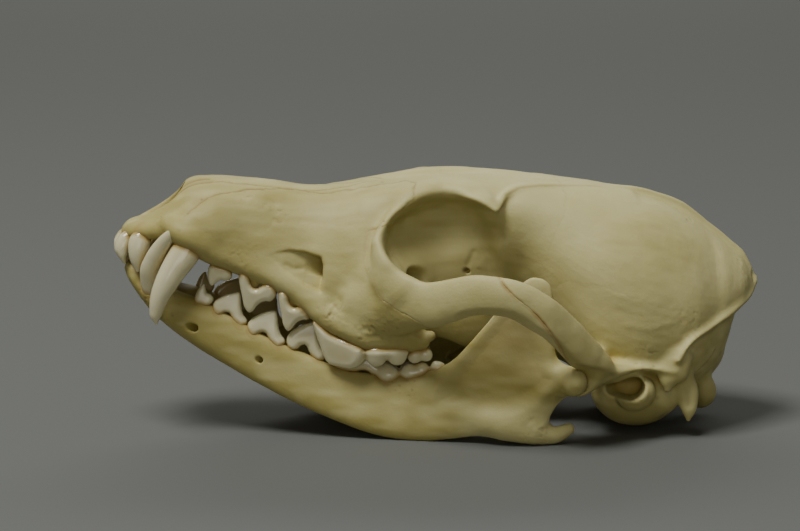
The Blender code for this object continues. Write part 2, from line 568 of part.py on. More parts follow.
def cranium_solid():
    pieces = [
        section_loft("snout", SNOUT),
        section_loft("forehead", FOREHEAD),
        section_loft("orbit_wall", ORBIT_WALL),
        section_loft("braincase", BRAINCASE),
        crest_plate("sagittal_crest", SAGITTAL_CREST, CREST_DEPTH, CREST_HALF),
    ]
    for side in SIDES.values():
        pieces += [
            bar("orbit_rim", ORBIT_RIM, side),
            bar("cheek", CHEEK_BAR, side),
            bar("nuchal_crest", NUCHAL_CREST, side),
            bar("condyle", CONDYLE, side),
            bar("paracondylar", PARACONDYLAR, side),
            bar("canine_swelling", CANINE_SWELLING, side),
            bar("tooth_edge", TOOTH_EDGE, side),
            bar("cheek_foot", CHEEK_FOOT, side),
            bar("postorbital", POSTORBITAL, side),
            blob("bulla", BULLA, side),
            blob("postglenoid", POSTGLENOID, side),
            blob("lacrimal", LACRIMAL, side),
            blob("mastoid", MASTOID, side),
        ]
    cutters = [bar("choana", CHOANA), bar("nostril", NOSTRIL), bar("foramen_magnum", FORAMEN_MAGNUM)]
    grown = [stop._replace(half_height=stop.half_height + GLENOID_PLAY, half_thick=stop.half_thick + GLENOID_PLAY)
             for stop in JAW_CONDYLE]
    for side in SIDES.values():
        cutters += [
            blob("orbit", ORBIT, side),
            bar("infraorbital", INFRAORBITAL, side),
            bar("meatus", MEATUS, side),
            bar("glenoid", grown, side),
        ]
    return fused("cranium", pieces, CRANIUM_SMOOTHINGS, cutters)


def jaw_solid(name, side):
    pieces = [jaw_loft("body", side), bar("jaw_condyle", JAW_CONDYLE, side), bar("angular", ANGULAR_PROCESS, side)]
    return fused(name, pieces, JAW_SMOOTHINGS)


def finish(obj, home, colour):
    """Give a node its own material and smooth shading, and put it in the skull's collection."""
    bone = bpy.data.materials.new(obj.name)
    bone.use_nodes = True
    shader = bone.node_tree.nodes["Principled BSDF"]
    shader.inputs["Base Color"].default_value = (*colour, 1)
    shader.inputs["Roughness"].default_value = ROUGHNESS
    shader.inputs["Metallic"].default_value = 0.0
    obj.data.materials.clear()
    obj.data.materials.append(bone)
    obj.data.polygons.foreach_set("use_smooth", [True] * len(obj.data.polygons))
    bpy.context.scene.collection.objects.unlink(obj)
    home.objects.link(obj)


def cheek_prism(name, side, play):
    """What encloses a cheekbone between its two joints. play is how much smaller it is all round."""
    front = [(x + play, z) for x, z in CHEEK_FRONT]
    back = [(x - play, z) for x, z in CHEEK_BACK]
    return side_prism(name, front + back, CHEEK_INNER + play, CHEEK_OUTER, side)


def jaw_half(word, side):
    """One half of the lower jaw with its teeth, cut along the middle and level below."""
    jaw = thinned(jaw_solid("mandible_" + word, side), JAW_TRIANGLES)
    boolean(jaw, "UNION", teeth(False, side))
    near, far = sorted((-BEYOND_SIDE * side, JOINT_GAP / 2 * side))
    beyond = box("beyond", (BEYOND_LOW[0], near, BEYOND_LOW[1]), (BEYOND_HIGH[0], far, BEYOND_HIGH[1]))
    boolean(jaw, "DIFFERENCE", [beyond, box("floor", FLOOR_LOW, FLOOR_HIGH)])
    return largest_surface(jaw)


def main():
    for obj in list(bpy.data.objects):
        bpy.data.objects.remove(obj)
    home = bpy.data.collections.new("fox_skull")
    bpy.context.scene.collection.children.link(home)

    head = largest_surface(thinned(cranium_solid(), CRANIUM_TRIANGLES))
    for word, side in SIDES.items():
        cheek = linked(head.copy())
        cheek.data = head.data.copy()
        cheek.name = "jugal_" + word
        boolean(cheek, "INTERSECT", [cheek_prism("inside", side, JOINT_GAP / 2)])
        finish(largest_surface(cheek), home, CHEEK_COLOUR)
        finish(jaw_half(word, side), home, JAW_COLOUR)
    cuts = [cheek_prism("outside", side, -JOINT_GAP / 2) for side in SIDES.values()]
    boolean(head, "DIFFERENCE", [*cuts, box("floor", FLOOR_LOW, FLOOR_HIGH)])
    largest_surface(head)
    boolean(head, "UNION", teeth(True, LEFT) + teeth(True, RIGHT))
    finish(largest_surface(head), home, CRANIUM_COLOUR)


main()
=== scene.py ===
"""Finished look of a red fox skull with its lower jaw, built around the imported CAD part.

Lengths are millimetres in the CAD part's frame: the snout points to -X, the animal's left side faces
-Y, Y = 0 is the plane of symmetry and Z = 0 is the surface that the skull rests on. MM makes metres.
Each bone is a distance field: closed surfaces are joined and cut in it with soft blends, and the
surface taken from it is then carved with sutures, pores and ridges. Pieces are modelled on the right
side and mirrored.
"""

import math
from collections import namedtuple

import bpy
import numpy as np
import openvdb as vdb
from mathutils import Matrix, Vector


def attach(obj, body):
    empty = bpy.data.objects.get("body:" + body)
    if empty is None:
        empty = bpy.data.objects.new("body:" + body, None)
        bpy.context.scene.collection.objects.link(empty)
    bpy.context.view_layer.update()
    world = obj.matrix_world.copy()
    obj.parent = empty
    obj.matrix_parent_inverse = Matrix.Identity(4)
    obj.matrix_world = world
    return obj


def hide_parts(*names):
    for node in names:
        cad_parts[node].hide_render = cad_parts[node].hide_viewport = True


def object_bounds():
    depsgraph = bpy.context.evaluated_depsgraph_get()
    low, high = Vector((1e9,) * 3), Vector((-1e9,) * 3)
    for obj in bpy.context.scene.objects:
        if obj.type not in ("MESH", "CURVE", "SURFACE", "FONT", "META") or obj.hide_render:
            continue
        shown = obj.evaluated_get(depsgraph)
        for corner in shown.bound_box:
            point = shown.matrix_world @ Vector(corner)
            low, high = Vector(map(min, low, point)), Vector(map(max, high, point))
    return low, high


MM = 0.001
BONE_VOXEL = 0.3
JAW_VOXEL = 0.28
TOOTH_VOXEL = 0.17
# How far from a surface its distances are kept.
REACH = 4.2

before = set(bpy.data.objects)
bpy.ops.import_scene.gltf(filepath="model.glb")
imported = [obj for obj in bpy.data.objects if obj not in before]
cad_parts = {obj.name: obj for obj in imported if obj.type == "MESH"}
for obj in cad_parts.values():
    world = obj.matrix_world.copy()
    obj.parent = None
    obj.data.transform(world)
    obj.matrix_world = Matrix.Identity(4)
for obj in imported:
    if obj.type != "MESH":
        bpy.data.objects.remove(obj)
cad_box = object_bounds()

Surface = namedtuple("Surface", "points quads triangles")
Section = namedtuple("Section", "x low high half wide_z upper lower")
Stop = namedtuple("Stop", "x y z half_height half_thick")
Ball = namedtuple("Ball", "x y z rx ry rz")
# Where the rings of a bar's round end lie, in shares of the end's length.
CAP_SHARES = (0.35, 0.65, 0.88, 0.98)
BACKWARD = (1, 0, 0)


def each(kind, *rows):
    """A named tuple of one kind for each row of numbers."""
    return tuple(kind(*row) for row in rows)


# Curves and closed surfaces

def ease(stations, at):
    """The value at a place along (place, value) stations, on a smooth curve through them."""
    xs = np.array([s[0] for s in stations], float)
    ys = np.array([s[1] for s in stations], float)
    slopes = np.gradient(ys, xs)
    rising = np.diff(ys) / np.diff(xs)
    for i in range(1, len(xs) - 1):
        if rising[i - 1] * rising[i] <= 0:
            slopes[i] = 0.0
    at = np.clip(at, xs[0], xs[-1])
    i = np.clip(np.searchsorted(xs, at, side="right") - 1, 0, len(xs) - 2)
    span = xs[i + 1] - xs[i]
    t = (at - xs[i]) / span
    start, rise = (1 + 2 * t) * (1 - t) ** 2, t * (1 - t) ** 2
    stop, fall = t * t * (3 - 2 * t), t * t * (t - 1)
    return start * ys[i] + rise * span * slopes[i] + stop * ys[i + 1] + fall * span * slopes[i + 1]


def curve(rows, per_span=8):
    """Rows of numbers on a smooth curve through the given ones, spaced by their first three."""
    table = np.array(rows, float)
    steps = np.linalg.norm(np.diff(table[:, :3], axis=0), axis=1)
    place = np.concatenate([[0], np.cumsum(steps)])
    at = np.linspace(0, place[-1], per_span * (len(table) - 1) + 1)
    return np.stack([ease(list(zip(place, table[:, k])), at) for k in range(table.shape[1])], axis=1)


def eased_rows(rows, per_span):
    """Every field of the rows, eased from row to row."""
    table = np.array(rows, float)
    at = np.linspace(0, len(rows) - 1, per_span * (len(rows) - 1) + 1)
    return np.stack([ease(list(enumerate(table[:, k])), at) for k in range(table.shape[1])], axis=1)


def turns_of(count):
    """Angles evenly round a circle."""
    return np.linspace(0, 2 * math.pi, count, endpoint=False)


def signed_power(value, power):
    return np.sign(value) * np.abs(value) ** power


def skin(rings):
    """A closed surface over rings of points, with a fan over each end."""
    rings = np.array(rings, float)
    count, around = rings.shape[:2]
    points = np.concatenate([rings.reshape(-1, 3), rings[[0, -1]].mean(axis=1)])
    i = np.arange(around)
    j = (i + 1) % around
    rows = np.arange(count - 1)[:, None] * around
    quads = np.stack([rows + i, rows + j, rows + around + j, rows + around + i], axis=-1).reshape(-1, 4)
    last = (count - 1) * around
    ends = [np.stack([j, i, np.full(around, count * around)], axis=1),
            np.stack([last + i, last + j, np.full(around, count * around + 1)], axis=1)]
    return Surface(points, quads, np.concatenate(ends))


def loft(rows, step=0.8, around=72):
    """A body through sections across the skull, each a pair of half superellipses."""
    turns = turns_of(around)
    count = max(2, round((rows[-1].x - rows[0].x) / step))
    xs = np.linspace(rows[0].x, rows[-1].x, count)
    size = {name: ease([(row.x, getattr(row, name)) for row in rows], xs)[:, None]
            for name in Section._fields[1:]}
    up = np.sin(turns)[None, :] >= 0
    square = 2 / np.where(up, size["upper"], size["lower"])
    reach = np.where(up, size["high"] - size["wide_z"], size["wide_z"] - size["low"])
    y = size["half"] * signed_power(np.cos(turns), square)
    z = size["wide_z"] + reach * signed_power(np.sin(turns), square)
    x = np.repeat(xs[:, None], around, axis=1)
    return skin(np.stack([x, y, z], axis=-1))


def bar(stops, up=(0, 0, 1), per_span=10, around=28):
    """A bar with round ends, swept through its stops. up is the way that a stop's half height runs."""
    path = curve(stops, per_span)
    centres = path[:, :3]
    ahead = np.gradient(centres, axis=0)
    ahead /= np.linalg.norm(ahead, axis=1, keepdims=True)
    across = np.cross(ahead, np.array(up, float))
    across /= np.linalg.norm(across, axis=1, keepdims=True)
    high = np.cross(across, ahead)
    turns = turns_of(around)
    tall, thick = path[:, 3, None, None], path[:, 4, None, None]
    rings = (centres[:, None] + high[:, None] * tall * np.sin(turns)[None, :, None]
             + across[:, None] * thick * np.cos(turns)[None, :, None])
    caps = []
    for end, sign in ((0, -1), (-1, 1)):
        cap = []
        for share in CAP_SHARES:
            drop = math.sqrt(1 - share**2)
            reach = min(path[end, 3], path[end, 4]) * share * sign
            cap.append(centres[end] + (rings[end] - centres[end]) * drop + ahead[end] * reach)
        caps.append(np.array(cap))
    return skin(np.concatenate([caps[0][::-1], rings, caps[1]]))


def ball(spec, turn=0, rings=24, around=48):
    """An ellipsoid, turned about Z."""
    lifts = np.linspace(-math.pi / 2, math.pi / 2, rings + 2)[1:-1]
    turns = turns_of(around)
    unit = np.stack([np.cos(lifts)[:, None] * np.cos(turns), np.cos(lifts)[:, None] * np.sin(turns),
                     np.repeat(np.sin(lifts)[:, None], around, axis=1)], axis=-1)
    made = skin(unit)
    spin = np.array(Matrix.Rotation(turn, 3, "Z"))
    return made._replace(points=(made.points * np.array(spec[3:6])) @ spin.T + np.array(spec[:3]))


def plate(edge, depth, thick, top_share=0.5, end_share=0.15, count=80):
    """An upright plate on the midline: its edge follows (x, z) stations, and it runs out at its back."""
    xs = np.linspace(edge[0][0], edge[-1][0], count)
    tops = ease(edge, xs)
    feet = tops - depth * np.minimum(1, end_share + (xs[-1] - xs) / depth)
    thin = thick * top_share
    return skin([[(x, -thick, foot), (x, thick, foot), (x, thin, top), (x, -thin, top)]
                 for x, foot, top in zip(xs, feet, tops)])


def side_prism(outline, outer):
    """A prism whose outline is drawn in X and Z, from each point's own inner Y to outer."""
    return skin([outline, [(x, outer, z) for x, _, z in outline]])


# Distance fields

def soft_min(a, b, blend):
    """The lesser of two distances, smoothed where they differ by less than blend."""
    if blend <= 0:
        return np.minimum(a, b)
    near = np.maximum(blend - np.abs(a - b), 0) / blend
    return np.minimum(a, b) - near * near * blend / 4


def soft_max(a, b, blend):
    return -soft_min(-a, -b, blend)


def interpolate(grid, places):
    """A grid's value at fractional cell places."""
    limit = np.array(grid.shape) - 1.001
    places = np.clip(places, 0, limit)
    base = places.astype(np.int32)
    part = (places - base).astype(np.float32)
    x, y, z = base.T
    fx, fy, fz = part.T
    total = np.zeros(len(places), np.float32)
    for i, wx in ((0, 1 - fx), (1, fx)):
        for j, wy in ((0, 1 - fy), (1, fy)):
            for k, wz in ((0, 1 - fz), (1, fz)):
                total += wx * wy * wz * grid[x + i, y + j, z + k]
    return total


class Volume:
    """Distances in millimetres on a grid, negative inside the solid, for the half with Y >= 0."""

    # Cells past the midline that the grid also covers, and cells to each side of a surface that make it.
    SEAM = 4
    BAND = 3

    def __init__(self, low, high, voxel):
        self.voxel = voxel
        low = (low[0], low[1] - self.SEAM * voxel, low[2])
        self.corner = np.floor(np.array(low) / voxel).astype(int)
        cells = np.ceil(np.array(high) / voxel).astype(int) - self.corner + 1
        self.field = np.full(cells, REACH, np.float32)

    def around(self, surface):
        """The part of the grid near a closed surface, and the distances to it there."""
        cells = math.ceil(REACH / self.voxel)
        grid = vdb.FloatGrid.createLevelSetFromPolygons(
            surface.points.astype(np.float32), triangles=surface.triangles.astype(np.uint32),
            quads=surface.quads.astype(np.uint32), exBandWidth=cells, inBandWidth=cells,
            transform=vdb.createLinearTransform(voxelSize=self.voxel))
        low = np.floor(surface.points.min(axis=0) / self.voxel).astype(int) - cells
        high = np.ceil(surface.points.max(axis=0) / self.voxel).astype(int) + cells + 1
        low = np.maximum(low, self.corner)
        high = np.minimum(high, self.corner + self.field.shape)
        distances = np.empty(np.maximum(high - low, 0), np.float32)
        if distances.size:
            grid.copyToArray(distances, ijk=tuple(int(v) for v in low))
        where = tuple(slice(a, b) for a, b in zip(low - self.corner, high - self.corner))
        return where, distances

    def add(self, surface, blend):
        where, distances = self.around(surface)
        self.field[where] = soft_min(self.field[where], distances, blend)
        return self

    def cut(self, surface, blend):
        where, distances = self.around(surface)
        self.field[where] = soft_max(self.field[where], -distances, blend)
        return self

    def keep(self, surface, blend):
        """Keep only what is inside a closed surface."""
        where, distances = self.around(surface)
        kept = np.full(self.field.shape, REACH, np.float32)
        kept[where] = soft_max(self.field[where], distances, blend)
        self.field = kept
        return self

    def copy(self):
        twin = Volume.__new__(Volume)
        twin.voxel, twin.corner = self.voxel, self.corner
        twin.field = self.field.copy()
        return twin

    def at(self, points):
        """Distances at points; on the left side the right side's are read."""
        folded = np.array(points)
        folded[:, 1] = np.abs(folded[:, 1])
        return interpolate(self.field, folded / self.voxel - self.corner)

    def whole(self):
        """Both halves in one array, and the cell of its corner."""
        half = self.field[:, -self.corner[1]:]
        both = np.concatenate([half[:, :0:-1], half], axis=1)
        return both, np.array([self.corner[0], 1 - half.shape[1], self.corner[2]])

    def surface(self):
        """Points and quads of the solid's skin."""
        values, corner = self.whole()
        band = self.BAND * self.voxel
        grid = vdb.FloatGrid(REACH)
        grid.copyFromArray(np.ascontiguousarray(np.clip(values, -band, band)))
        points, quads = grid.convertToQuads(0.0)
        return (points.astype(float) + corner) * self.voxel, quads.astype(np.int64)


def blurred(grid, cells, passes=2):
    """A grid averaged over a box of cells, again and again."""
    out = grid.astype(np.float32)
    for _ in range(passes):
        for axis in range(3):
            pad = [(0, 0)] * 3
            pad[axis] = (cells + 1, cells)
            total = np.cumsum(np.pad(out, pad, mode="edge"), axis=axis, dtype=np.float32)
            n = out.shape[axis]
            near = [slice(None)] * 3
            far = [slice(None)] * 3
            near[axis] = slice(0, n)
            far[axis] = slice(2 * cells + 1, 2 * cells + 1 + n)
            out = (total[tuple(far)] - total[tuple(near)]) / (2 * cells + 1)
    return out


def crowding(volumes, points, radius, step=0.9, blur=1.6):
    """The share of solid around each point, near 0.5 on flat bone and more in a hollow."""
    low = points.min(axis=0) - radius * 2
    cells = np.ceil((points.max(axis=0) + radius * 2 - low) / step).astype(int)
    axes = [low[k] + step * np.arange(cells[k]) for k in range(3)]
    places = np.stack(np.meshgrid(*axes, indexing="ij"), axis=-1).reshape(-1, 3)
    solid = np.zeros(len(places), np.float32)
    for volume in volumes:
        solid = np.maximum(solid, np.clip(0.5 - volume.at(places) / step, 0, 1))
    blurred_solid = blurred(solid.reshape(cells), max(1, round(radius / step / blur)))
    return interpolate(blurred_solid, (points - low) / step)


# Surface detail

def hashed(cells, seed):
    """A repeatable random number from 0 to 1 for each whole-number cell."""
    x, y, z = np.moveaxis(cells, -1, 0)
    n = (x * 73856093) ^ (y * 19349663) ^ (z * 83492791) ^ (seed * 2654435761)
    n = (n ^ (n >> 13)) * 1274126177
    return ((n ^ (n >> 16)) & 0xFFFF) / 65535.0


def noise(points, size, seed):
    """Smooth noise from -1 to 1 whose bumps are about size across."""
    places = np.asarray(points, float) / size
    base = np.floor(places).astype(np.int64)
    part = places - base
    part = part * part * (3 - 2 * part)
    total = np.zeros(len(places))
    for i in (0, 1):
        for j in (0, 1):
            for k in (0, 1):
                weight = (np.where(i, part[:, 0], 1 - part[:, 0]) * np.where(j, part[:, 1], 1 - part[:, 1])
                          * np.where(k, part[:, 2], 1 - part[:, 2]))
                total += weight * hashed(base + (i, j, k), seed)
    return total * 2 - 1


def step_up(low, high, value):
    """A smooth step from 0 at low to 1 at high, which may be the smaller."""
    t = np.clip((value - low) / (high - low), 0, 1)
    return t * t * (3 - 2 * t)


class Skin:
    """The points of a bone's surface while they are carved. The folded ones lie on the right side."""

    def __init__(self, volume):
        self.points, self.quads = volume.surface()
        self.normals = self.measure_normals()
        ahead = volume.at(self.points + self.normals * volume.voxel * 0.5)
        behind = volume.at(self.points - self.normals * volume.voxel * 0.5)
        if np.mean(ahead > behind) < 0.5:
            self.quads = self.quads[:, ::-1]
            self.normals = -self.normals
        self.folded = self.points.copy()
        self.folded[:, 1] = np.abs(self.folded[:, 1])
        self.facing = self.normals.copy()
        self.facing[:, 1] *= np.where(self.points[:, 1] < 0, -1, 1)
        self.marks = {}

    def measure_normals(self):
        p, q = self.points, self.quads
        faces = np.cross(p[q[:, 2]] - p[q[:, 0]], p[q[:, 3]] - p[q[:, 1]])
        total = np.zeros_like(p)
        for k in range(4):
            for axis in range(3):
                total[:, axis] += np.bincount(q[:, k], faces[:, axis], minlength=len(p))
        return total / np.maximum(np.linalg.norm(total, axis=1, keepdims=True), 1e-12)

    def push(self, amount, which=slice(None)):
        """Move the points, or those with some indices, out along their normals."""
        self.points[which] += self.normals[which] * amount[:, None]

    def distance(self, spot):
        """How far each point is from a spot or from its mirror image."""
        return np.linalg.norm(self.folded - spot[:3], axis=1)

    def touching(self, volumes, far, near):
        """How close other pieces are to each point: 0 where they are far, 1 where they are near."""
        return np.max([step_up(far, near, volume.at(self.points)) for volume in volumes], axis=0)

    def near(self, path, reach):
        """Indices of the points within reach of a path, how far to its side they are and how far along."""
        path = np.array(path, float)
        low, high = path.min(axis=0) - reach, path.max(axis=0) + reach
        inside = np.flatnonzero(np.all((self.folded > low) & (self.folded < high), axis=1))
        p, n = self.folded[inside], self.facing[inside]
        best = np.full(len(p), np.inf)
        side = np.ones(len(p))
        share = np.zeros(len(p))
        lengths = np.linalg.norm(np.diff(path, axis=0), axis=1)
        ends = np.concatenate([[0], np.cumsum(lengths)])
        for k, (a, b) in enumerate(zip(path, path[1:])):
            way = (b - a) / lengths[k]
            along = np.clip((p - a) @ way, 0, lengths[k])
            off = p - a - along[:, None] * way
            far = np.linalg.norm(off, axis=1)
            closer = far < best
            best[closer] = far[closer]
            turn = np.einsum("ij,ij->i", off, np.cross(way, n))
            flat = np.linalg.norm(off - n * np.einsum("ij,ij->i", off, n)[:, None], axis=1)
            side[closer] = np.where(turn[closer] < 0, -flat[closer], flat[closer])
            share[closer] = (ends[k] + along[closer]) / ends[-1]
        close = best < reach
        return inside[close], side[close], share[close]

    def mark(self, name, values):
        self.marks[name] = np.asarray(values, np.float32)


def put(name, data):
    """A new object in the scene."""
    obj = bpy.data.objects.new(name, data)
    bpy.context.scene.collection.objects.link(obj)
    return obj


def mesh_object(name, points, quads, marks, material):
    """A smooth mesh object in metres that carries its marks as attributes."""
    mesh = bpy.data.meshes.new(name)
    mesh.vertices.add(len(points))
    mesh.vertices.foreach_set("co", (points * MM).astype(np.float32).ravel())
    mesh.loops.add(quads.size)
    mesh.loops.foreach_set("vertex_index", quads.astype(np.int32).ravel())
    mesh.polygons.add(len(quads))
    mesh.polygons.foreach_set("loop_start", np.arange(0, quads.size, 4, dtype=np.int32))
    mesh.update(calc_edges=True)
    mesh.shade_smooth()
    for mark, values in marks.items():
        mesh.attributes.new(mark, "FLOAT", "POINT").data.foreach_set("value", values.astype(np.float32))
    mesh.materials.append(material)
    return put(name, mesh)


# The cranium's sizes

HEAD_BOX = ((-76, 0, -1), (76, 41, 61))
SNOUT = each(Section,
    (-72.4, 44.8, 45.8, 2.6, 45.3, 2, 2),
    (-71.2, 44.4, 47.2, 5, 45.5, 2, 2.2),
    (-68.6, 44.2, 48.8, 7.2, 46, 2, 2.4),
    (-65.6, 44, 50.6, 8.4, 46.6, 2, 2.4),
    (-62.4, 43.4, 53, 9.2, 46.9, 2, 2.4),
    (-60, 42.4, 55.2, 10.4, 46.4, 1.9, 2.8),
    (-57.6, 41.2, 57.2, 11.2, 45.8, 1.9, 3),
    (-54.6, 40, 58.1, 11.8, 44.8, 1.9, 3),
    (-51, 38.6, 58.1, 12.8, 43.6, 2, 3.4),
    (-45, 36.6, 57.7, 12.8, 41.4, 2, 3.6),
    (-38, 33.4, 57, 13.3, 38.4, 2, 3.8),
    (-31, 30, 55.9, 14.6, 35.2, 2, 3.6),
    (-25, 25.6, 55.8, 17, 32, 2.1, 3.6),
    (-18, 21.8, 56.5, 19.4, 29, 2.5, 4),
    (-12, 21.2, 57.3, 20.2, 26.8, 2.4, 4),
    (-6.4, 21.6, 57.5, 18.6, 26, 1.5, 3.4),
    (-3, 22.8, 57.6, 12, 28, 1.5, 2.4),
)
FOREHEAD = each(Section,
    (-24, 47, 55.4, 7, 51, 2.2, 2),
    (-15, 47, 56.5, 12.4, 52.2, 2.4, 2),
    (-8, 48.6, 58.2, 14.4, 54.2, 2.6, 2),
    (-1, 50.4, 59, 13.6, 55.6, 2.6, 2),
    (5, 50.4, 59.1, 14.6, 55.6, 2.4, 2),
    (9.6, 45, 59, 15, 53.4, 2.2, 2.2),
    (14, 34, 58.8, 15.4, 50, 2.2, 2.2),
    (19, 33, 58.2, 15.6, 48.6, 2.4, 2.2),
    (27, 36, 56.7, 15.8, 46.6, 2.2, 2.2),
    (36, 40, 55.5, 14, 45, 2, 2),
    (44, 40, 53.2, 9, 45, 2, 2),
)
ORBIT_WALL = each(Section,
    (-17, 24, 55, 13.6, 46, 2.6, 2.6),
    (-8, 23, 56, 12.2, 48, 2.6, 3),
    (0, 23, 56, 11.2, 49, 2.6, 3),
    (8, 21.6, 56, 10.6, 48, 2.6, 2.8),
    (15, 19, 54, 11, 46, 2.6, 2.4),
    (21, 16.6, 53, 13.2, 43, 2.4, 2),
    (28, 14.6, 52, 16, 38, 2.2, 2),
)
BRAINCASE = each(Section,
    (14, 34, 53, 8.5, 45, 2, 2),
    (18, 28, 56, 12.4, 44, 2, 2),
    (24, 20, 56, 16.8, 41, 2.1, 2.2),
    (31, 13, 55.6, 20.8, 36, 2.1, 2.8),
    (38, 9.4, 54.8, 23.2, 32, 2.1, 2.9),
    (45, 8.2, 53.4, 24, 29, 2, 2.7),
    (52, 7.8, 51.4, 22.8, 26.6, 1.9, 2.5),
    (58, 7.6, 48.2, 20.4, 25.8, 1.8, 2.3),
    (62.6, 10, 45, 16.6, 25.8, 1.75, 2.2),
    (66, 15.6, 42.2, 13.6, 27.6, 1.95, 2),
    (68.4, 24.8, 40.2, 11.2, 29.4, 1.9, 1.6),
    (70.6, 28.2, 38.4, 8.6, 30.8, 1.9, 1.5),
    (72.8, 31, 35.4, 4.2, 32.6, 1.7, 1.6),
)
ORBIT_RIM = each(Stop,
    (-3, 12, 54.8, 2, 2), (-8, 15, 52, 2.2, 2.2), (-12, 18, 48.4, 2.4, 1.9), (-14.2, 20.4, 44, 2.8, 2),
    (-13.2, 22.8, 39.6, 3.8, 2.3), (-10, 24, 35.6, 5, 3),
)
CHEEK_BAR = each(Stop,
    (-18, 15.4, 34, 7, 4), (-12, 21.6, 34.6, 6.6, 2.9), (-5, 27.4, 33.2, 5.2, 2.3),
    (2, 32.2, 34.8, 4.9, 1.9), (8, 35, 35.9, 4.7, 1.8), (13.6, 36.4, 35.5, 4.3, 1.8),
    (20, 36.6, 32.2, 4.3, 1.8), (26, 34.8, 26.9, 4.3, 2), (31.2, 31.6, 21.2, 4.3, 2.6),
    (37, 26, 16.9, 1.8, 3.2), (44, 22.2, 16.9, 0.6, 2), (52, 21.8, 15.9, 0.7, 1.6),
)
# The round that bevels the cheek bar's lower outer edge: its radius, and how far its middle lies out
# from the bar's outer face and down from its lower edge. It runs along the bar's stops with these numbers.
BEVEL_RADIUS, BEVEL_OUT, BEVEL_DOWN = 6.0, 3.4, 2.9
BEVEL_FROM, BEVEL_TO = 3, 10
NUCHAL_CREST = each(Stop,
    (73.2, 0, 32.8, 0.9, 1.6), (71.1, 6, 30.2, 0.8, 1.3), (66.2, 12.4, 27.7, 0.7, 1.4),
    (60.4, 17.8, 25.2, 0.6, 1.5), (55.2, 21.8, 22.4, 0.6, 1.4), (52.6, 22.8, 18.6, 0.7, 1.3),
)
SAGITTAL_CREST = (
    (34, 53.4), (40, 54.9), (46, 54.7), (51, 53.4), (56.7, 51.2), (63, 46.4), (68.4, 42), (72, 38.2),
    (73.9, 33.4),
)
BULLA = Ball(45, 12.8, 10.5, 11, 7.5, 9.2)
BULLA_TURN = 0.2
# The short bony tube round the ear opening, from the bulla outwards.
EAR_TUBE = each(Stop,
    (43.4, 14, 10.4, 3.8, 4.6), (43.6, 18.4, 10.6, 4.2, 4.7), (43.6, 20.6, 10.7, 4.2, 4.7),
)
# The bone over the ear hole and in front of it.
EAR_ROOF = Ball(38.4, 20.4, 15.4, 6.4, 4, 2.8)
EAR_TILT = (-0.25, 0, 1)
ORBIT_HOLES = (
    each(Stop, (5.6, 13, 37.2, 0.55, 0.5), (6.4, 9.2, 37, 0.5, 0.5)),
    each(Stop, (15, 12.4, 27, 1.2, 1.1), (18, 6, 27.6, 1.1, 1)),
    each(Stop, (18.6, 14.4, 23.4, 1.6, 1.1), (22, 7, 24, 1.4, 1)),
)
CONDYLE = each(Stop,
    (58.8, 10.8, 14.4, 1.8, 2.2), (60.2, 10.2, 11.2, 2.5, 2.6), (61.2, 9, 8, 2.8, 2.8),
    (60.4, 6.2, 6, 2.1, 2.2), (58.4, 4.2, 6.4, 1.4, 1.4),
)
FORAMEN_RIM = each(Stop,
    (65.6, 0, 19.6, 1.4, 1.3), (65.2, 4.6, 18.4, 1.3, 1.3), (63.9, 7.4, 15.4, 1.3, 1.3),
    (61, 8.4, 12.4, 1.2, 1.2),
)
PARACONDYLAR = each(Stop,
    (52.6, 17.6, 18.6, 2.6, 3.2), (53.8, 18.2, 14.8, 2.8, 2.8), (55.2, 19, 11.4, 2.8, 2.2),
    (55.9, 19.7, 8.2, 2.3, 1.6), (56, 20, 6, 1.6, 1.1), (55.9, 20, 4.2, 0.6, 0.6),
)
# The rim behind the lower jaw's joint, which hooks under it.
POSTGLENOID = each(Stop,
    (34.2, 25.4, 19, 2.4, 5.2), (33.4, 25.4, 15.6, 1.9, 5), (31.8, 25.4, 13.2, 1.3, 4.6),
    (29.8, 25.4, 12, 0.7, 4),
)
# The bone that closes the gap between the bulla and the process behind it.
EAR_BACK = Ball(50, 17, 9.2, 4.6, 3.4, 4.4)
MASTOID = each(Stop,
    (53, 20.8, 19.4, 3.6, 2.2), (51.8, 21.6, 16, 3.8, 1.9), (50.9, 22, 13.4, 2.2, 1.4),
    (50.7, 22.1, 11.8, 0.9, 0.8),
)
CANINE_SWELLING = each(Stop,
    (-57.6, 10.2, 46, 3.4, 2.8), (-54.2, 9.6, 47.2, 4.2, 2.8), (-49, 8.3, 48.8, 4.2, 2.6),
    (-42, 6.8, 50.4, 3.2, 2.3),
)
# The bony edge that the upper teeth stand in, from the canine to the last molar.
TOOTH_EDGE = each(Stop,
    (-61.8, 9.4, 48.4, 1.3, 1.5), (-59.4, 11.6, 47, 1.5, 1.6), (-57, 12.6, 45.4, 1.5, 1.5),
    (-55.2, 12.2, 43.8, 1.5, 1.5), (-53, 11.2, 42.2, 1.6, 1.5), (-48, 10.4, 40.1, 1.8, 1.7),
    (-43, 11, 38.1, 2, 1.8), (-38, 11.8, 36.2, 2.1, 1.9), (-33, 13, 33.7, 2.4, 2.1),
    (-29.6, 14.2, 30.7, 2.6, 2.4), (-26.1, 15.6, 28, 2.8, 2.6), (-21.6, 17.6, 25.7, 2.8, 2.6),
    (-17.1, 19, 23.6, 2.7, 2.2), (-9, 18.6, 22.9, 2.7, 2.2), (-4.8, 16.8, 22.3, 2.3, 2),
)
INCISOR_EDGE = each(Stop,
    (-70.9, 0, 46, 1.3, 1.4), (-70.3, 3.2, 46.1, 1.4, 1.4), (-67.8, 6.2, 46.2, 1.6, 1.5),
    (-63.5, 8.2, 46.8, 1.7, 1.7),
)
TUBEROSITY = Ball(-2.7, 17.2, 23.6, 1.2, 1.2, 1.2)
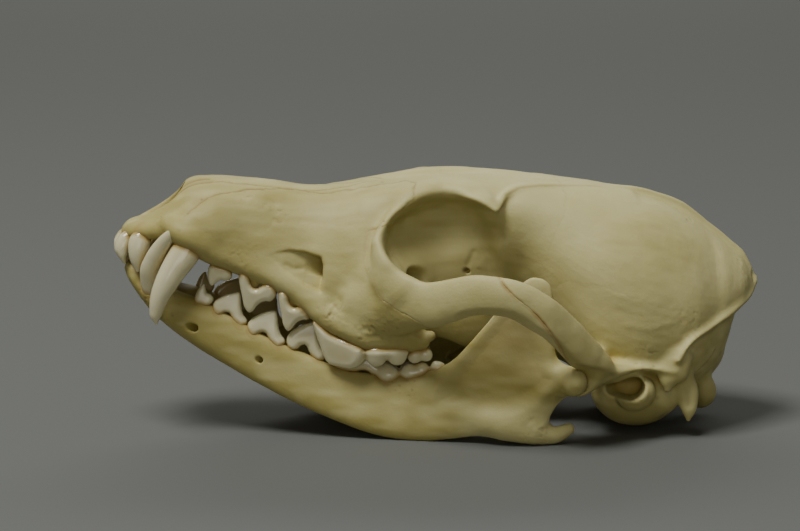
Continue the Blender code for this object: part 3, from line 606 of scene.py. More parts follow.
# The slope from the molars out to the cheekbone.
CHEEK_FOOT = each(Stop,
    (-20, 17.8, 31, 4, 2.2), (-15, 20.2, 30, 4.6, 2.6), (-10, 22.6, 29.8, 4.6, 2.6),
    (-5, 25.4, 30.4, 3.4, 2.2), (-1.5, 28.4, 30.6, 2, 1.6),
)
NASAL_SLIT = each(Stop,
    (-61, 4, 55, 0.5, 0.3), (-58, 3.6, 56.9, 0.5, 0.3), (-55, 3.5, 57.8, 0.45, 0.3),
    (-52, 3.6, 58.2, 0.4, 0.25),
)
# Tongues of bone between the two roots of a cheek tooth.
ROOT_TONGUES = each(Ball,
    (-42.6, 10.7, 36.4, 1.9, 1.1, 3.2), (-33.6, 12.4, 32.8, 1.9, 1.2, 3.3),
    (-24, 16.6, 25.6, 1.6, 1.6, 1.6),
)
POSTORBITAL = each(Stop,
    (3, 9, 56.2, 1.6, 4), (7.4, 13.2, 55.2, 1.5, 3.4), (10.4, 16.2, 53.9, 1.2, 2.2),
    (11.9, 17.8, 52.4, 0.7, 0.9),
)
TEMPORAL_LINE = each(Stop,
    (12.4, 16.8, 52.8, 0.6, 0.8), (13.8, 14.2, 54.6, 0.8, 0.8), (17.4, 10.6, 55.8, 0.9, 0.9),
    (23, 8, 55.9, 0.9, 0.9), (30, 5.4, 55, 0.9, 0.9), (38, 2.8, 54, 0.7, 0.8), (45, 1, 52.4, 0.5, 0.6),
)
FRONTAL_GROOVE = each(Stop,
    (-26, 0, 60.6, 3, 3), (-12, 0, 60.6, 3.6, 4), (0, 0, 61.4, 3.8, 4.6), (12, 0, 61.7, 3.8, 4.6),
    (24, 0, 60.6, 3.6, 4), (34, 0, 60.6, 3, 3),
)
MAXILLARY_RECESS = Ball(-3.4, 15.2, 35.6, 9.8, 2.8, 3.4)
CHOANA = each(Stop,
    (40, 0, 6, 5, 4.6), (24, 0, 14.6, 5.4, 6.2), (10, 0, 21.4, 5, 6.6), (2, 0, 25.4, 4, 6),
    (-6, 0, 29, 3, 4.6),
)
# The plate of bone beside the inner nostrils, with its hook at the back.
PTERYGOID = each(Stop,
    (-5, 12.2, 26.8, 3.7, 1.9), (2.3, 11.7, 26.2, 4.8, 1.6), (8, 10.2, 24.6, 5.6, 1.5),
    (15, 7.4, 20.8, 4.6, 0.9), (20.6, 7, 17.6, 3.8, 0.8), (24.6, 7.2, 14.4, 1.6, 0.7),
)
NOSTRIL = each(Stop,
    (-76, 0, 57.6, 7.6, 3.4), (-70, 0, 55.6, 6.6, 3.6), (-62, 0, 52.6, 4.6, 4.1), (-54, 0, 51.4, 4.8, 4.6),
    (-44, 0, 50.6, 3.6, 4),
)
# The hollow in front of the infraorbital hole, in X and Z with how far in its floor is, and the canal
# behind the hole.
INFRAORBITAL = (
    (-38.5, 13.4, 41.6), (-35, 13.6, 38.2), (-31, 14.1, 35.2), (-27.6, 14.6, 33.8), (-27, 13, 36.5),
    (-26.9, 11.4, 39.5), (-27.4, 11.2, 41.2), (-31, 12.2, 42.2), (-34.5, 12.8, 42.4),
)
INFRAORBITAL_OUTSIDE = 30
INFRAORBITAL_CANAL = each(Stop, (-30, 13.6, 39.2, 1.6, 1), (-26, 12, 38.4, 2, 1.2), (-18, 10, 36.4, 2, 1.2))
MEATUS = each(Stop, (42.3, 26, 12.2, 2.6, 3.2), (42.3, 20.6, 12.1, 2.5, 3.1), (43, 16, 11.4, 2.3, 2.8))
MEATUS_POINT = each(Stop,
    (39.2, 26, 11.6, 1.9, 2.9), (39.4, 20, 11.6, 1.8, 2.7), (41.2, 15.6, 11.4, 1.6, 2),
)
FORAMEN_MAGNUM = each(Stop, (74, 0, 13, 5.2, 6.4), (66, 0, 13, 5.2, 6.6), (52, 0, 15.4, 5, 6))
ORBIT = Ball(1.4, 22, 46.6, 14.8, 12.2, 10.4)
# The cheekbone's joints in X and Z, with how far in each point's edge reaches: in front it lies over the
# maxilla and behind it meets the temporal bone. The gaps are negative, because the pieces run slightly
# into each other, so that each joint shows as a fine line.
CHEEK_FRONT = (
    (-9, 21.4, 50.2), (-12.6, 19, 49.4), (-15.6, 16.6, 47.8), (-17.2, 15.6, 45.4), (-17.5, 15.5, 43),
    (-17.2, 15.7, 40.4), (-16.2, 16.4, 37.6), (-14.6, 17.5, 34.4), (-11, 20, 31.6), (-4, 21.4, 28),
    (1, 21.4, 24),
)
CHEEK_BACK = (
    (27.4, 21.4, 17), (25.4, 21.4, 23), (22, 21.4, 28.6), (17.7, 21.4, 33.6), (14, 21.4, 36.6),
    (11.4, 21.4, 39.6), (10.4, 21.4, 46),
)
CHEEK_FRONT_GAP, CHEEK_BACK_GAP, CHEEK_OUTSIDE = -0.6, -0.3, 60
# How far the front joint wavers, the size of its waves, their seed and how much of them goes up and down.
JOINT_WAVER, WAVER_SIZE, WAVER_SEED, WAVER_RISE = 0.25, 0.9, 21, 0.5
# How wide the soft edge is where the cheekbones are parted from the cranium.
PARTING = 0.1
JAW_CONDYLE = each(Stop,
    (29, 22.4, 15, 2, 1.7), (28.8, 25.6, 15.2, 2.6, 2.3), (28.6, 29, 15.4, 2.9, 2.5),
    (28.6, 31.4, 15.5, 2.8, 2.5),
)
GLENOID_PLAY = 0.12


def cheek_bevel():
    """The round that cuts the cheek bar's lower outer edge away."""
    stops = []
    for before, stop, after in zip(CHEEK_BAR, CHEEK_BAR[1:], CHEEK_BAR[2:]):
        along, rise = after.x - before.x, after.z - before.z
        down = (stop.half_height + BEVEL_DOWN) / math.hypot(along, rise)
        stops.append(Stop(stop.x + rise * down, stop.y + stop.half_thick + BEVEL_OUT, stop.z - along * down,
                          BEVEL_RADIUS, BEVEL_RADIUS))
    return stops[BEVEL_FROM - 1:BEVEL_TO - 1]


def cranium_volume():
    """The cranium with its cheekbones, before they are parted.

    The number after each surface is how wide its soft join is, in millimetres.
    """
    bone = Volume(*HEAD_BOX, BONE_VOXEL)
    bone.add(loft(SNOUT), 0)
    bone.add(loft(FOREHEAD), 2.0)
    bone.add(loft(ORBIT_WALL), 3.0)
    bone.add(loft(BRAINCASE), 3.0)
    bone.add(plate(SAGITTAL_CREST, 8.0, 0.9), 1.6)
    bone.add(bar(CANINE_SWELLING), 4.0)
    bone.add(bar(TOOTH_EDGE), 3.0)
    bone.add(bar(INCISOR_EDGE), 1.5)
    for tongue in ROOT_TONGUES:
        bone.add(ball(tongue), 0.6)
    bone.add(bar(TEMPORAL_LINE), 1.2)
    bone.cut(bar(FRONTAL_GROOVE), 2.0)
    bone.add(bar(ORBIT_RIM), 3.0)
    bone.add(bar(CHEEK_BAR), 2.5)
    bone.cut(bar(cheek_bevel()), 0.4)
    bone.add(bar(NUCHAL_CREST), 1.4)
    bone.add(bar(CHEEK_FOOT), 3.0)
    bone.add(ball(TUBEROSITY), 1.0)
    bone.add(bar(CONDYLE, up=BACKWARD), 1.2)
    bone.add(bar(PARACONDYLAR, up=BACKWARD), 1.5)
    bone.add(ball(BULLA, -BULLA_TURN), 1.0)
    bone.add(ball(EAR_BACK), 1.6)
    bone.add(bar(EAR_TUBE, up=EAR_TILT), 0.5)
    bone.add(ball(EAR_ROOF), 1.6)
    bone.add(bar(POSTGLENOID, up=BACKWARD), 3.0)
    bone.add(bar(MASTOID, up=BACKWARD), 1.2)
    bone.cut(bar(CHOANA), 1.0)
    bone.add(bar(PTERYGOID), 2.5)
    bone.cut(bar(NOSTRIL), 0.6)
    bone.cut(bar(NASAL_SLIT), 0.2)
    bone.cut(bar(FORAMEN_MAGNUM), 1.0)
    bone.add(bar(FORAMEN_RIM, up=BACKWARD), 1.0)
    bone.cut(ball(ORBIT), 2.0)
    bone.add(bar(POSTORBITAL), 1.2)
    bone.cut(ball(MAXILLARY_RECESS), 1.0)
    bone.cut(side_prism(np.array(INFRAORBITAL), INFRAORBITAL_OUTSIDE), 1.0)
    bone.cut(bar(INFRAORBITAL_CANAL), 0.5)
    bone.cut(bar(MEATUS, up=EAR_TILT), 0.5)
    bone.cut(bar(MEATUS_POINT, up=EAR_TILT), 0.8)
    for hole in ORBIT_HOLES:
        bone.cut(bar(hole), 0.3)
    bone.cut(bar([(*stop[:3], stop.half_height + GLENOID_PLAY, stop.half_thick + GLENOID_PLAY)
                  for stop in JAW_CONDYLE]), 0.3)
    return bone


def jagged(path):
    """Points along a path that wander from it as the edge of a bone does."""
    path = curve(path, 6)
    path[1:-1] += JOINT_WAVER * noise(path[1:-1], WAVER_SIZE, WAVER_SEED)[:, None] * (1, 0, WAVER_RISE)
    return path


def cheek_prism(side):
    """What parts the cheekbone from the cranium: its own side of the joints (1), or the cranium's (-1)."""
    front = jagged(CHEEK_FRONT) + np.array((CHEEK_FRONT_GAP, CHEEK_FRONT_GAP, 0)) * side / 2
    back = curve(CHEEK_BACK, 4) - np.array((CHEEK_BACK_GAP, 0, 0)) * side / 2
    return side_prism(np.concatenate([front, back]), CHEEK_OUTSIDE)


# Lines, pits and rough places of the bones

# A suture: how wide and deep its groove is, how far it wanders and the path that it follows.
Suture = namedtuple("Suture", "width depth wander path")
Pit = namedtuple("Pit", "x y z radius depth")
# A groove or, with a negative depth, a ridge with soft sides.
Fold = namedtuple("Fold", "width depth path")
Rough = namedtuple("Rough", "x y z radius grain height")

# The depth from which a suture is at its darkest, how far from its path it can lie, and the sizes of the
# lumps that bend, jag and fade it.
DEEP_SUTURE, SUTURE_REACH = 0.16, 2.4
SUTURE_BEND, SUTURE_JAG, SUTURE_FADE = 1.5, 0.6, 3.0
# The share of the jags and of the fading, and what is added to the suture's seed for each.
JAG_SHARE, FADE_SHARE, JAG_SEED, FADE_SEED = 0.6, 0.25, 40, 80
HEAD_SUTURES = each(Suture,
    (0.26, 0.2, 0.3, (
        (-58.6, 12, 46), (-58.3, 11, 49), (-57, 10.4, 50.9), (-54.6, 9.5, 52.5), (-52.7, 8.5, 53.5),
        (-49.8, 7.5, 54.2), (-45.9, 6.7, 54.7), (-43.9, 5.9, 55.1), (-39.6, 5.2, 55.3), (-32, 3.9, 55.4),
    )),
    (0.22, 0.14, 0.2, (
        (-55.9, 3.9, 56.9), (-51.2, 4.3, 57.1), (-45.5, 4.3, 56.7), (-39.6, 4.4, 56.1), (-32, 4, 55.4),
        (-27.2, 4, 55.1), (-20.4, 4.4, 55.7), (-15, 3, 56.6), (-11.5, 0.3, 57),
    )),
    (0.2, 0.22, 0.12, ((-60, 0, 57), (-45, 0, 57.6), (-30, 0, 56), (-11.5, 0, 57))),
    (0.2, 0.2, 0.25, ((-11.5, 0, 57), (0, 0, 57.6), (12, 0, 57.6), (26.7, 0, 56.5))),
    (0.24, 0.14, 0.35, (
        (-32, 4, 55.4), (-27.2, 5.4, 55), (-20.4, 6.6, 55.5), (-13.7, 7.2, 56.4), (-8, 8.2, 57),
        (-5.6, 10.4, 56.9), (-6.8, 15.5, 54.4), (-9.7, 18.2, 51.4), (-11, 19.6, 49.6),
    )),
    (0.24, 0.16, 0.3, ((-17.7, 15.4, 45.2), (-16.8, 15.8, 47.2), (-15.2, 17, 48.8), (-12.4, 18.6, 49.6))),
    (0.22, 0.04, 0.5, (
        (26.7, 0, 56.5), (27.4, 5, 56), (28.2, 10, 54), (27.6, 14, 50.6), (25.6, 16, 46.4),
        (23.6, 16.4, 42),
    )),
    (0.24, 0.035, 0.5, (
        (22, 15.6, 33), (28, 19.4, 36), (36, 23.2, 35.4), (40.2, 23.8, 33.9), (44.5, 24, 32.6),
        (48.9, 23.8, 30.4), (55.6, 21.4, 29.5),
    )),
    (0.3, 0.2, 0.1, ((38, 0, 8), (38, 5, 8))),
    (0.24, 0.14, 0.25, ((-60, 0, 44), (-40, 0, 34), (-20, 0, 24), (-2, 0, 22))),
    (0.22, 0.12, 0.4, ((-22, 0, 24), (-20, 6, 24), (-14, 11, 22))),
    (0.42, 0.5, 0.05, (
        (-63, 4.4, 52.9), (-61.1, 4.5, 53.8), (-59.7, 4.4, 55), (-57.6, 4.3, 55.9), (-54.1, 4.2, 56.9),
        (-51, 4, 57.4),
    )),
    (0.36, 0.45, 0.05, (
        (-61.6, 3.4, 54.4), (-59.6, 3.3, 56), (-57.6, 3.2, 57.1), (-54.6, 3, 57.8), (-52, 2.8, 58),
    )),
    (0.25, 0.08, 0.1, (
        (13.6, 14.6, 54.6), (17.4, 11.2, 55.9), (23, 8.6, 56), (30, 6, 55.2), (38, 3.4, 54.4),
    )),
    (0.24, 0.14, 0.3, ((62, 14.5, 20), (58, 17.8, 14), (55, 18.6, 9))),
)
HEAD_PITS = each(Pit,
    (-57.8, 11.6, 47.6, 0.55, 0.5), (-57.2, 11.4, 48.3, 0.4, 0.4), (-49, 8.4, 53.2, 0.4, 0.4),
    (-48, 8.4, 52.8, 0.35, 0.3), (-41.4, 9.4, 49.5, 0.42, 0.5), (-54, 8.6, 53.6, 0.4, 0.3),
    (-12.3, 20.6, 23.1, 0.5, 0.5), (-28.7, 12.9, 30.3, 0.4, 0.4), (-25.5, 18.1, 28.8, 0.42, 0.4),
    (-22.1, 18.2, 26.5, 0.4, 0.4), (-19.2, 20.1, 24.5, 0.4, 0.4), (-13, 6, 56.9, 0.4, 0.3),
    (5.7, 10.6, 37.3, 0.8, 0.1), (59, 17, 21.4, 0.9, 0.5), (48.6, 19.6, 9.4, 0.7, 0.6),
)
HEAD_FOLDS = each(Fold,
    (3.2, 0.15, ((-47.8, 9.9, 49.3), (-41, 10.5, 46.4), (-34.3, 11.7, 44.4), (-28.5, 13.4, 43.4))),
    (0.6, 0.25, ((-35.9, 11.8, 39.6), (-33.6, 12.3, 38.2), (-30.7, 13, 38.6))),
    (0.7, 0.25, ((5.8, 10.4, 37.6), (6.8, 10.4, 39.8), (7.8, 10.4, 42.6))),
    (1.1, -0.15, ((8.6, 10.4, 37.2), (9.4, 10.4, 39.8), (12.4, 10.8, 40.6))),
    (1.4, 0.16, ((17.4, 12.4, 42.6), (18.6, 12, 40), (19.4, 12.4, 36.6))),
    (0.8, 0.35, ((55.2, 21.8, 13), (55.9, 21.6, 9.4), (56, 21.3, 6.4))),
    (1.1, -0.09, ((35.9, 22.5, 34), (44.5, 23.9, 32.4), (50, 23.6, 30.2))),
    (0.8, 0.07, ((37, 23.6, 30.4), (43, 24.4, 29), (49, 24, 28.6))),
    (0.8, -0.08, ((39, 24.2, 27), (46, 24.6, 26), (53, 23, 27.2))),
    (0.5, 0.14, ((-52.7, 11.6, 45.9), (-50.1, 11.2, 43.8), (-45.6, 10.8, 41.9), (-39.7, 11.4, 40.2))),
    (0.4, 0.12, ((-52, 11.4, 44.4), (-49, 11.2, 43), (-44, 11, 40.8))),
)
HEAD_ROUGH = each(Rough,
    (-24, 16.4, 28.6, 6, 0.9, 0.14), (58.5, 5, 49.5, 4, 0.8, 0.12), (65, 8, 43, 4, 0.9, 0.06),
    (70, 5, 36.5, 5, 0.9, 0.06), (55, 21.5, 27, 6, 1.1, 0.06), (64, 12, 22, 8, 1.6, 0.08),
    (-45, 10.6, 41, 6, 0.8, 0.08), (-14.5, 19.5, 45, 3, 0.9, 0.08), (-62, 8, 47, 5, 0.8, 0.1),
    (45, 23, 18.5, 6, 1.1, 0.08), (-16.5, 19.6, 26, 5, 0.9, 0.14), (-11, 22, 27.5, 6, 0.9, 0.1),
    (-44.5, 8.2, 53.2, 3.6, 1.3, 0.09), (-38, 9.6, 50.6, 4.4, 1.4, 0.1),
)
# The pores of a rough place: their size in shares of its grain's, their depth in shares of its height, how
# dark they are, the noise at which one starts and is full, and what is added to the place's seed.
PORE_SIZE, PORE_DEPTH, PORE_DARK = 0.6, 1.2, 0.35
PORE_START, PORE_FULL, PORE_SEED = 0.45, 0.8, 30
JAW_PITS = each(Pit, (26, 29.4, 16.1, 0.5, 0.5), (-66, 6, 31.4, 0.4, 0.3), (-61, 9.6, 27.4, 0.4, 0.3))
JAW_FOLDS = each(Fold,
    (1.4, -0.25, (
        (10, 25.6, 30), (7.4, 24, 25.6), (4.4, 22.6, 21.4), (0.4, 21.6, 15.6), (-3.4, 20.6, 10.2),
    )),
    (2, -0.2, ((-1.4, 21.9, 9.4), (5, 24, 5.6), (13, 25.4, 4.4), (20, 26.2, 8), (25, 26.8, 13))),
    (2.6, 0.22, ((-52, 11, 21.4), (-40, 13, 16.6), (-28, 15.4, 12), (-16, 17.6, 8.6))),
)
JAW_ROUGH = each(Rough, (-64, 7, 30, 8, 1, 0.1), (20, 24.5, 4, 6, 1, 0.12), (-8, 18, 13.4, 6, 0.9, 0.06))
# The hollow on the outside of the ramus, as an outline in X and Z.
FOSSA_OUTLINE = (
    (-2.4, 9), (1, 17), (4.4, 22), (8.8, 28), (13, 33.6), (21.4, 35), (22.6, 27), (23.4, 20.4), (25, 15),
    (20, 9.4), (13, 6.6), (5, 6.6),
)
FOSSA_DEPTH, FOSSA_SLOPE, FOSSA_RIM = 1.2, 4.0, 0.4
# The ramus lies behind this X and outside this Y.
RAMUS_FRONT, RAMUS_INSIDE = -4, 19
# The low lumps that all bone has, and those of the teeth.
Lump = namedtuple("Lump", "height size")
LUMPS = (Lump(0.07, 9.0), Lump(0.045, 3.4), Lump(0.025, 1.3))
TOOTH_LUMP = Lump(0.02, 1.6)
HEAD_SEED, SUTURE_SEED, ROUGH_SEED, JAW_SEED, JAW_ROUGH_SEED, TOOTH_SEED = 100, 200, 300, 600, 700, 800


def swell(body, seed):
    """Make the surface uneven, and different on the two sides."""
    body.push(sum(lump.height * noise(body.points, lump.size, seed + k) for k, lump in enumerate(LUMPS)))


def cut_sutures(body, sutures, seed):
    """Groove the sutures and return how much of one is at each point."""
    line = np.zeros(len(body.points))
    for k, suture in enumerate(sutures):
        which, side, share = body.near(suture.path, SUTURE_REACH)
        places = body.points[which]
        jags = noise(places, SUTURE_JAG, seed + JAG_SEED + k)
        wander = noise(places, SUTURE_BEND, seed + k) + JAG_SHARE * jags
        off = np.abs(side + suture.wander * wander)
        ends = step_up(0.0, 0.05, share) * step_up(1.0, 0.95, share)
        fade = 1 - FADE_SHARE + FADE_SHARE * noise(places, SUTURE_FADE, seed + FADE_SEED + k)
        cut = np.exp(-(off / suture.width) ** 2) * ends * fade
        line[which] = np.maximum(line[which], cut * min(1, suture.depth / DEEP_SUTURE))
        body.push(-suture.depth * cut, which)
    return line


def press_folds(body, folds):
    """Press the grooves in and raise the ridges."""
    for fold in folds:
        which, side, share = body.near(fold.path, fold.width * 3)
        ends = step_up(0.0, 0.2, share) * step_up(1.0, 0.8, share)
        body.push(-fold.depth * np.exp(-(side / fold.width) ** 2) * ends, which)


def sink_pits(body, pits):
    """Press the small pits in and return how much of one is at each point."""
    dark = np.zeros(len(body.points))
    for pit in pits:
        far = body.distance(pit)
        dark = np.maximum(dark, step_up(pit.radius * 1.5, pit.radius * 0.5, far))
        body.push(-pit.depth * step_up(pit.radius * 1.3, pit.radius * 0.3, far))
    return dark


def roughen(body, places, seed):
    """Raise a grain over the rough places, with pores in it, and return how porous each point is."""
    dark = np.zeros(len(body.points))
    for k, place in enumerate(places):
        far = body.distance(place)
        near = np.flatnonzero(far < place.radius)
        fade = step_up(place.radius, place.radius * 0.4, far[near])
        grain = noise(body.points[near], place.grain, seed + k)
        holes = noise(body.points[near], place.grain * PORE_SIZE, seed + PORE_SEED + k)
        pore = step_up(PORE_START, PORE_FULL, holes) * fade
        body.push(place.height * (grain * fade - PORE_DEPTH * pore), near)
        dark[near] = np.maximum(dark[near], pore * PORE_DARK)
    return dark


def sink_fossa(body):
    """Hollow the outside of the ramus and return how deep in the hollow each point is."""
    x, y, z = body.folded.T
    outward = body.facing[:, 1]
    which = np.flatnonzero((x > RAMUS_FRONT) & (y > RAMUS_INSIDE) & (outward > 0.2))
    edge = outline_distance(rounded(FOSSA_OUTLINE), x[which], z[which])
    inside = np.zeros(len(body.points))
    inside[which] = step_up(FOSSA_RIM, -FOSSA_SLOPE, edge) * step_up(0.2, 0.6, outward[which])
    body.push(-FOSSA_DEPTH * inside)
    return inside


# The lower jaw's sizes

JAW_BOX = ((-76, 0, -1), (34, 36, 42))
Slice = namedtuple("Slice", "low_x low_z high_x high_z low_y high_y low_half high_half")
JAW = each(Slice,
    (-72.2, 37.2, -71.4, 39.2, 1.6, 1.8, 2.2, 2),
    (-71, 34.4, -69.6, 38.2, 2.4, 2.9, 3.4, 3.1),
    (-67.6, 29.6, -65.2, 35.4, 3.8, 4.4, 4.8, 4.4),
    (-63.2, 25, -60.4, 32.4, 4.6, 5, 5.4, 4.6),
    (-57, 20.4, -54.2, 30.4, 6.2, 7.4, 4.8, 2.8),
    (-49.4, 15.9, -47.4, 26.9, 8.8, 9, 3, 2.1),
    (-41.3, 11.4, -39.4, 22.5, 11, 10.6, 2.7, 2.2),
    (-32.3, 7, -30.9, 18.9, 13.4, 12.2, 2.7, 2.3),
    (-23.2, 3.4, -22, 15.4, 15.6, 13.6, 2.8, 2.5),
    (-13.6, 0.5, -12.4, 14.2, 17.6, 15.2, 2.8, 2.6),
    (-5.6, -0.2, -5.2, 15, 19.4, 17.2, 2.7, 2.4),
    (1, 0.5, 0.2, 17, 21, 19.2, 2.6, 1.9),
    (6.6, 1.6, 4.4, 20.9, 22.8, 21.4, 2.4, 1.8),
    (11.6, 2, 10.6, 28.8, 24.6, 23.6, 2.2, 1.6),
    (15.6, 2, 15.4, 35.2, 25.6, 25, 2, 1.4),
    (19.6, 2.8, 19.6, 38.4, 26, 26.2, 1.8, 1.2),
    (22.4, 5, 22.4, 37.6, 26.2, 26.6, 1.7, 1.1),
    (23.6, 7, 23.8, 35, 26.2, 26.6, 1.6, 1.1),
    (24.3, 8.2, 24, 28, 26.2, 26.6, 1.5, 1.1),
    (25.3, 9.4, 24.7, 21.2, 25.8, 26.8, 1.4, 1.1),
    (27.4, 11.4, 26.8, 18.4, 26.2, 27.2, 1.3, 1),
)
ANGULAR_PROCESS = each(Stop,
    (11, 24.4, 5.6, 1.6, 1.6), (15, 25.2, 4, 2.2, 1.9), (19.5, 25.4, 2.5, 2.2, 2), (24.6, 25, 2, 2, 1.8),
    (28.2, 24.4, 3.3, 1.4, 1.2),
)
JAW_NECK = each(Stop, (18, 25.4, 15.4, 3.6, 1.3), (23.6, 27.4, 14.8, 3.2, 2), (28, 29.8, 15.4, 2.6, 2.2))
# Hollows of the lower jaw: round the canine, the pits of the chin nerves and the hole inside the ramus.
CANINE_BED = Ball(-65.4, 9.8, 36.2, 4.4, 3.8, 4)
CHIN_HOLES = (
    each(Stop, (-59, 13, 25.9, 0.7, 0.9), (-56.2, 9.8, 24.5, 0.9, 1.1), (-53, 7.6, 23, 0.8, 0.9)),
    each(Stop, (-43.4, 15, 18.4, 0.5, 0.55), (-41.2, 12.4, 17.4, 0.6, 0.6), (-39, 10.8, 16.6, 0.6, 0.6)),
)
NERVE_HOLE = each(Stop, (14, 19, 13.4, 1.2, 1.1), (9, 21.6, 11.8, 1.2, 1.1), (4, 20.6, 10.6, 1, 1))


def jaw_loft(per_span=8, around=48, square=0.75):
    """The body and ramus of one half of the lower jaw, through its slices."""
    rows = Slice(*eased_rows(JAW, per_span).T)
    turns = turns_of(around)
    rise = (1 + signed_power(np.sin(turns), square)) / 2
    swing = signed_power(np.cos(turns), square)
    low = np.stack([rows.low_x, rows.low_y, rows.low_z], axis=1)[:, None]
    high = np.stack([rows.high_x, rows.high_y, rows.high_z], axis=1)[:, None]
    half = rows.low_half[:, None] + (rows.high_half - rows.low_half)[:, None] * rise
    rings = low + (high - low) * rise[None, :, None]
    rings[:, :, 1] += swing * half
    return skin(rings)


def jaw_volume():
    """Both halves of the lower jaw."""
    bone = Volume(*JAW_BOX, JAW_VOXEL)
    bone.add(jaw_loft(), 0)
    bone.add(bar(JAW_CONDYLE), 2.0)
    bone.add(bar(JAW_NECK), 2.5)
    bone.add(bar(ANGULAR_PROCESS), 4.0)
    bone.cut(ball(CANINE_BED), 1.0)
    for hole in (*CHIN_HOLES, NERVE_HOLE):
        bone.cut(bar(hole), 0.4)
    return bone


# Teeth

# A tooth shaped like a blade: where its gum line starts and ends, its height and half thickness, and
# its outline in shares of its length along the gum line and of its height.
Blade = namedtuple("Blade", "front back height half outline")
CHEEK_TOOTH = (
    (0.03, 0.08), (0.1, 0.27), (0.27, 0.6), (0.42, 0.89), (0.56, 1), (0.65, 0.91), (0.73, 0.66),
    (0.85, 0.51), (1, 0.43), (1.07, 0.2), (1.01, -0.02), (0.84, -0.1), (0.68, 0), (0.58, 0.19),
    (0.48, 0.23), (0.38, 0.13), (0.31, -0.05), (0.2, -0.16), (0.06, -0.14), (0, -0.02),
)
LOWER_CHEEK_TOOTH = (
    (0, 0.04), (-0.07, 0.26), (-0.03, 0.48), (0.12, 0.73), (0.3, 0.92), (0.45, 1), (0.56, 0.83),
    (0.66, 0.61), (0.8, 0.41), (0.96, 0.3), (1, 0.12), (0.93, -0.04), (0.77, -0.06), (0.6, 0.08),
    (0.45, 0.24), (0.34, 0.21), (0.28, 0.03), (0.15, -0.06),
)
ONE_ROOT_TOOTH = (
    (0.1, -0.15), (0, 0.1), (0.02, 0.5), (0.12, 0.85), (0.26, 1), (0.42, 0.8), (0.56, 0.62), (0.82, 0.58),
    (1, 0.4), (0.98, 0.1), (0.8, -0.12), (0.4, -0.2),
)
CARNASSIAL = (
    (0.04, -0.1), (0, 0.06), (0.06, 0.22), (0.17, 0.42), (0.29, 0.63), (0.43, 0.89), (0.53, 0.99),
    (0.63, 0.97), (0.72, 0.91), (0.8, 0.86), (0.9, 0.78), (0.98, 0.62), (1.03, 0.38), (1, 0.08),
    (0.9, -0.08), (0.66, -0.04), (0.4, 0.04), (0.2, -0.04),
)
LOWER_CARNASSIAL = (
    (0.05, -0.12), (0, 0.08), (0.02, 0.4), (0.1, 0.72), (0.19, 0.8), (0.27, 0.7), (0.33, 0.74), (0.42, 1),
    (0.5, 0.94), (0.58, 0.62), (0.68, 0.44), (0.8, 0.48), (0.93, 0.4), (1, 0.2), (0.98, 0), (0.84, -0.14),
    (0.66, -0.1), (0.5, 0.06), (0.34, -0.1), (0.18, -0.16),
)
UPPER_BLADES = each(Blade,
    ((-52.7, 10.3, 38.9), (-47.3, 10.8, 37.9), 4.4, 1.35, ONE_ROOT_TOOTH),
    ((-46, 11, 37.2), (-37.5, 12.2, 34.1), 7.6, 1.65, CHEEK_TOOTH),
    ((-37, 12.5, 33), (-29.1, 14.2, 30.1), 7.5, 1.8, CHEEK_TOOTH),
    ((-29, 14.6, 27.2), (-17.2, 19.2, 20.9), 7.4, 2.2, CARNASSIAL),
)
LOWER_BLADES = each(Blade,
    ((-56.3, 7.9, 30.6), (-52.4, 8.3, 29.2), 4.3, 1.2, ONE_ROOT_TOOTH),
    ((-52.2, 8.5, 27.7), (-44.8, 9.4, 24), 7, 1.45, LOWER_CHEEK_TOOTH),
    ((-44.3, 10, 23.2), (-36.2, 11.2, 19.5), 7.5, 1.6, LOWER_CHEEK_TOOTH),
    ((-35.3, 11.4, 20.4), (-26.9, 12.2, 16.6), 7.8, 1.75, LOWER_CHEEK_TOOTH),
    ((-25, 12.4, 16.2), (-9.9, 14.9, 12.9), 7.2, 2.1, LOWER_CARNASSIAL),
)
UPPER_CANINE = each(Stop,
    (-54.6, 9.2, 49.6, 2.6, 1.8), (-57.5, 11.4, 42.9, 3.4, 2.3), (-60.8, 12.4, 38, 2.95, 2.1),
    (-62.5, 12.8, 35, 2.6, 1.9), (-63.7, 12.95, 32.5, 2.2, 1.65), (-64.5, 12.9, 29.6, 1.7, 1.35),
    (-64.8, 12.7, 27.4, 1.1, 0.95), (-64.7, 12.5, 26.3, 0.45, 0.45),
)
LOWER_CANINE = each(Stop,
    (-64.6, 6, 29.4, 2.2, 1.7), (-65.7, 7.4, 33.4, 2.4, 1.8), (-66, 8.8, 37.2, 2.4, 1.8),
    (-65, 10, 40.4, 2.2, 1.6), (-63.4, 11, 43.4, 1.9, 1.3), (-61.4, 11.9, 46.2, 1.3, 0.85),
    (-60.2, 12.3, 47.8, 0.5, 0.4),
)
UPPER_INCISORS = (
    each(Stop,
        (-70.8, 1.5, 45.4, 1, 1), (-72.4, 1.6, 43.8, 1.7, 1.45), (-73.1, 1.6, 42.2, 1.6, 1.6),
        (-72.9, 1.6, 40.4, 0.7, 1.35), (-72.6, 1.6, 39.5, 0.35, 0.9),
    ),
    each(Stop,
        (-69.8, 4, 45.8, 1.1, 1), (-71.6, 4.5, 43.8, 2, 1.55), (-72.4, 4.7, 41.8, 1.8, 1.65),
        (-72.2, 4.7, 39.8, 0.8, 1.35), (-71.9, 4.7, 38.9, 0.4, 0.9),
    ),
    each(Stop,
        (-67, 6, 46.6, 1.6, 1.3), (-68.3, 6.9, 43.9, 2.5, 1.9), (-68.8, 7.2, 41.6, 2.2, 1.85),
        (-69, 7.3, 39.2, 1.4, 1.3), (-68.9, 7.3, 37.5, 0.5, 0.6),
    ),
)
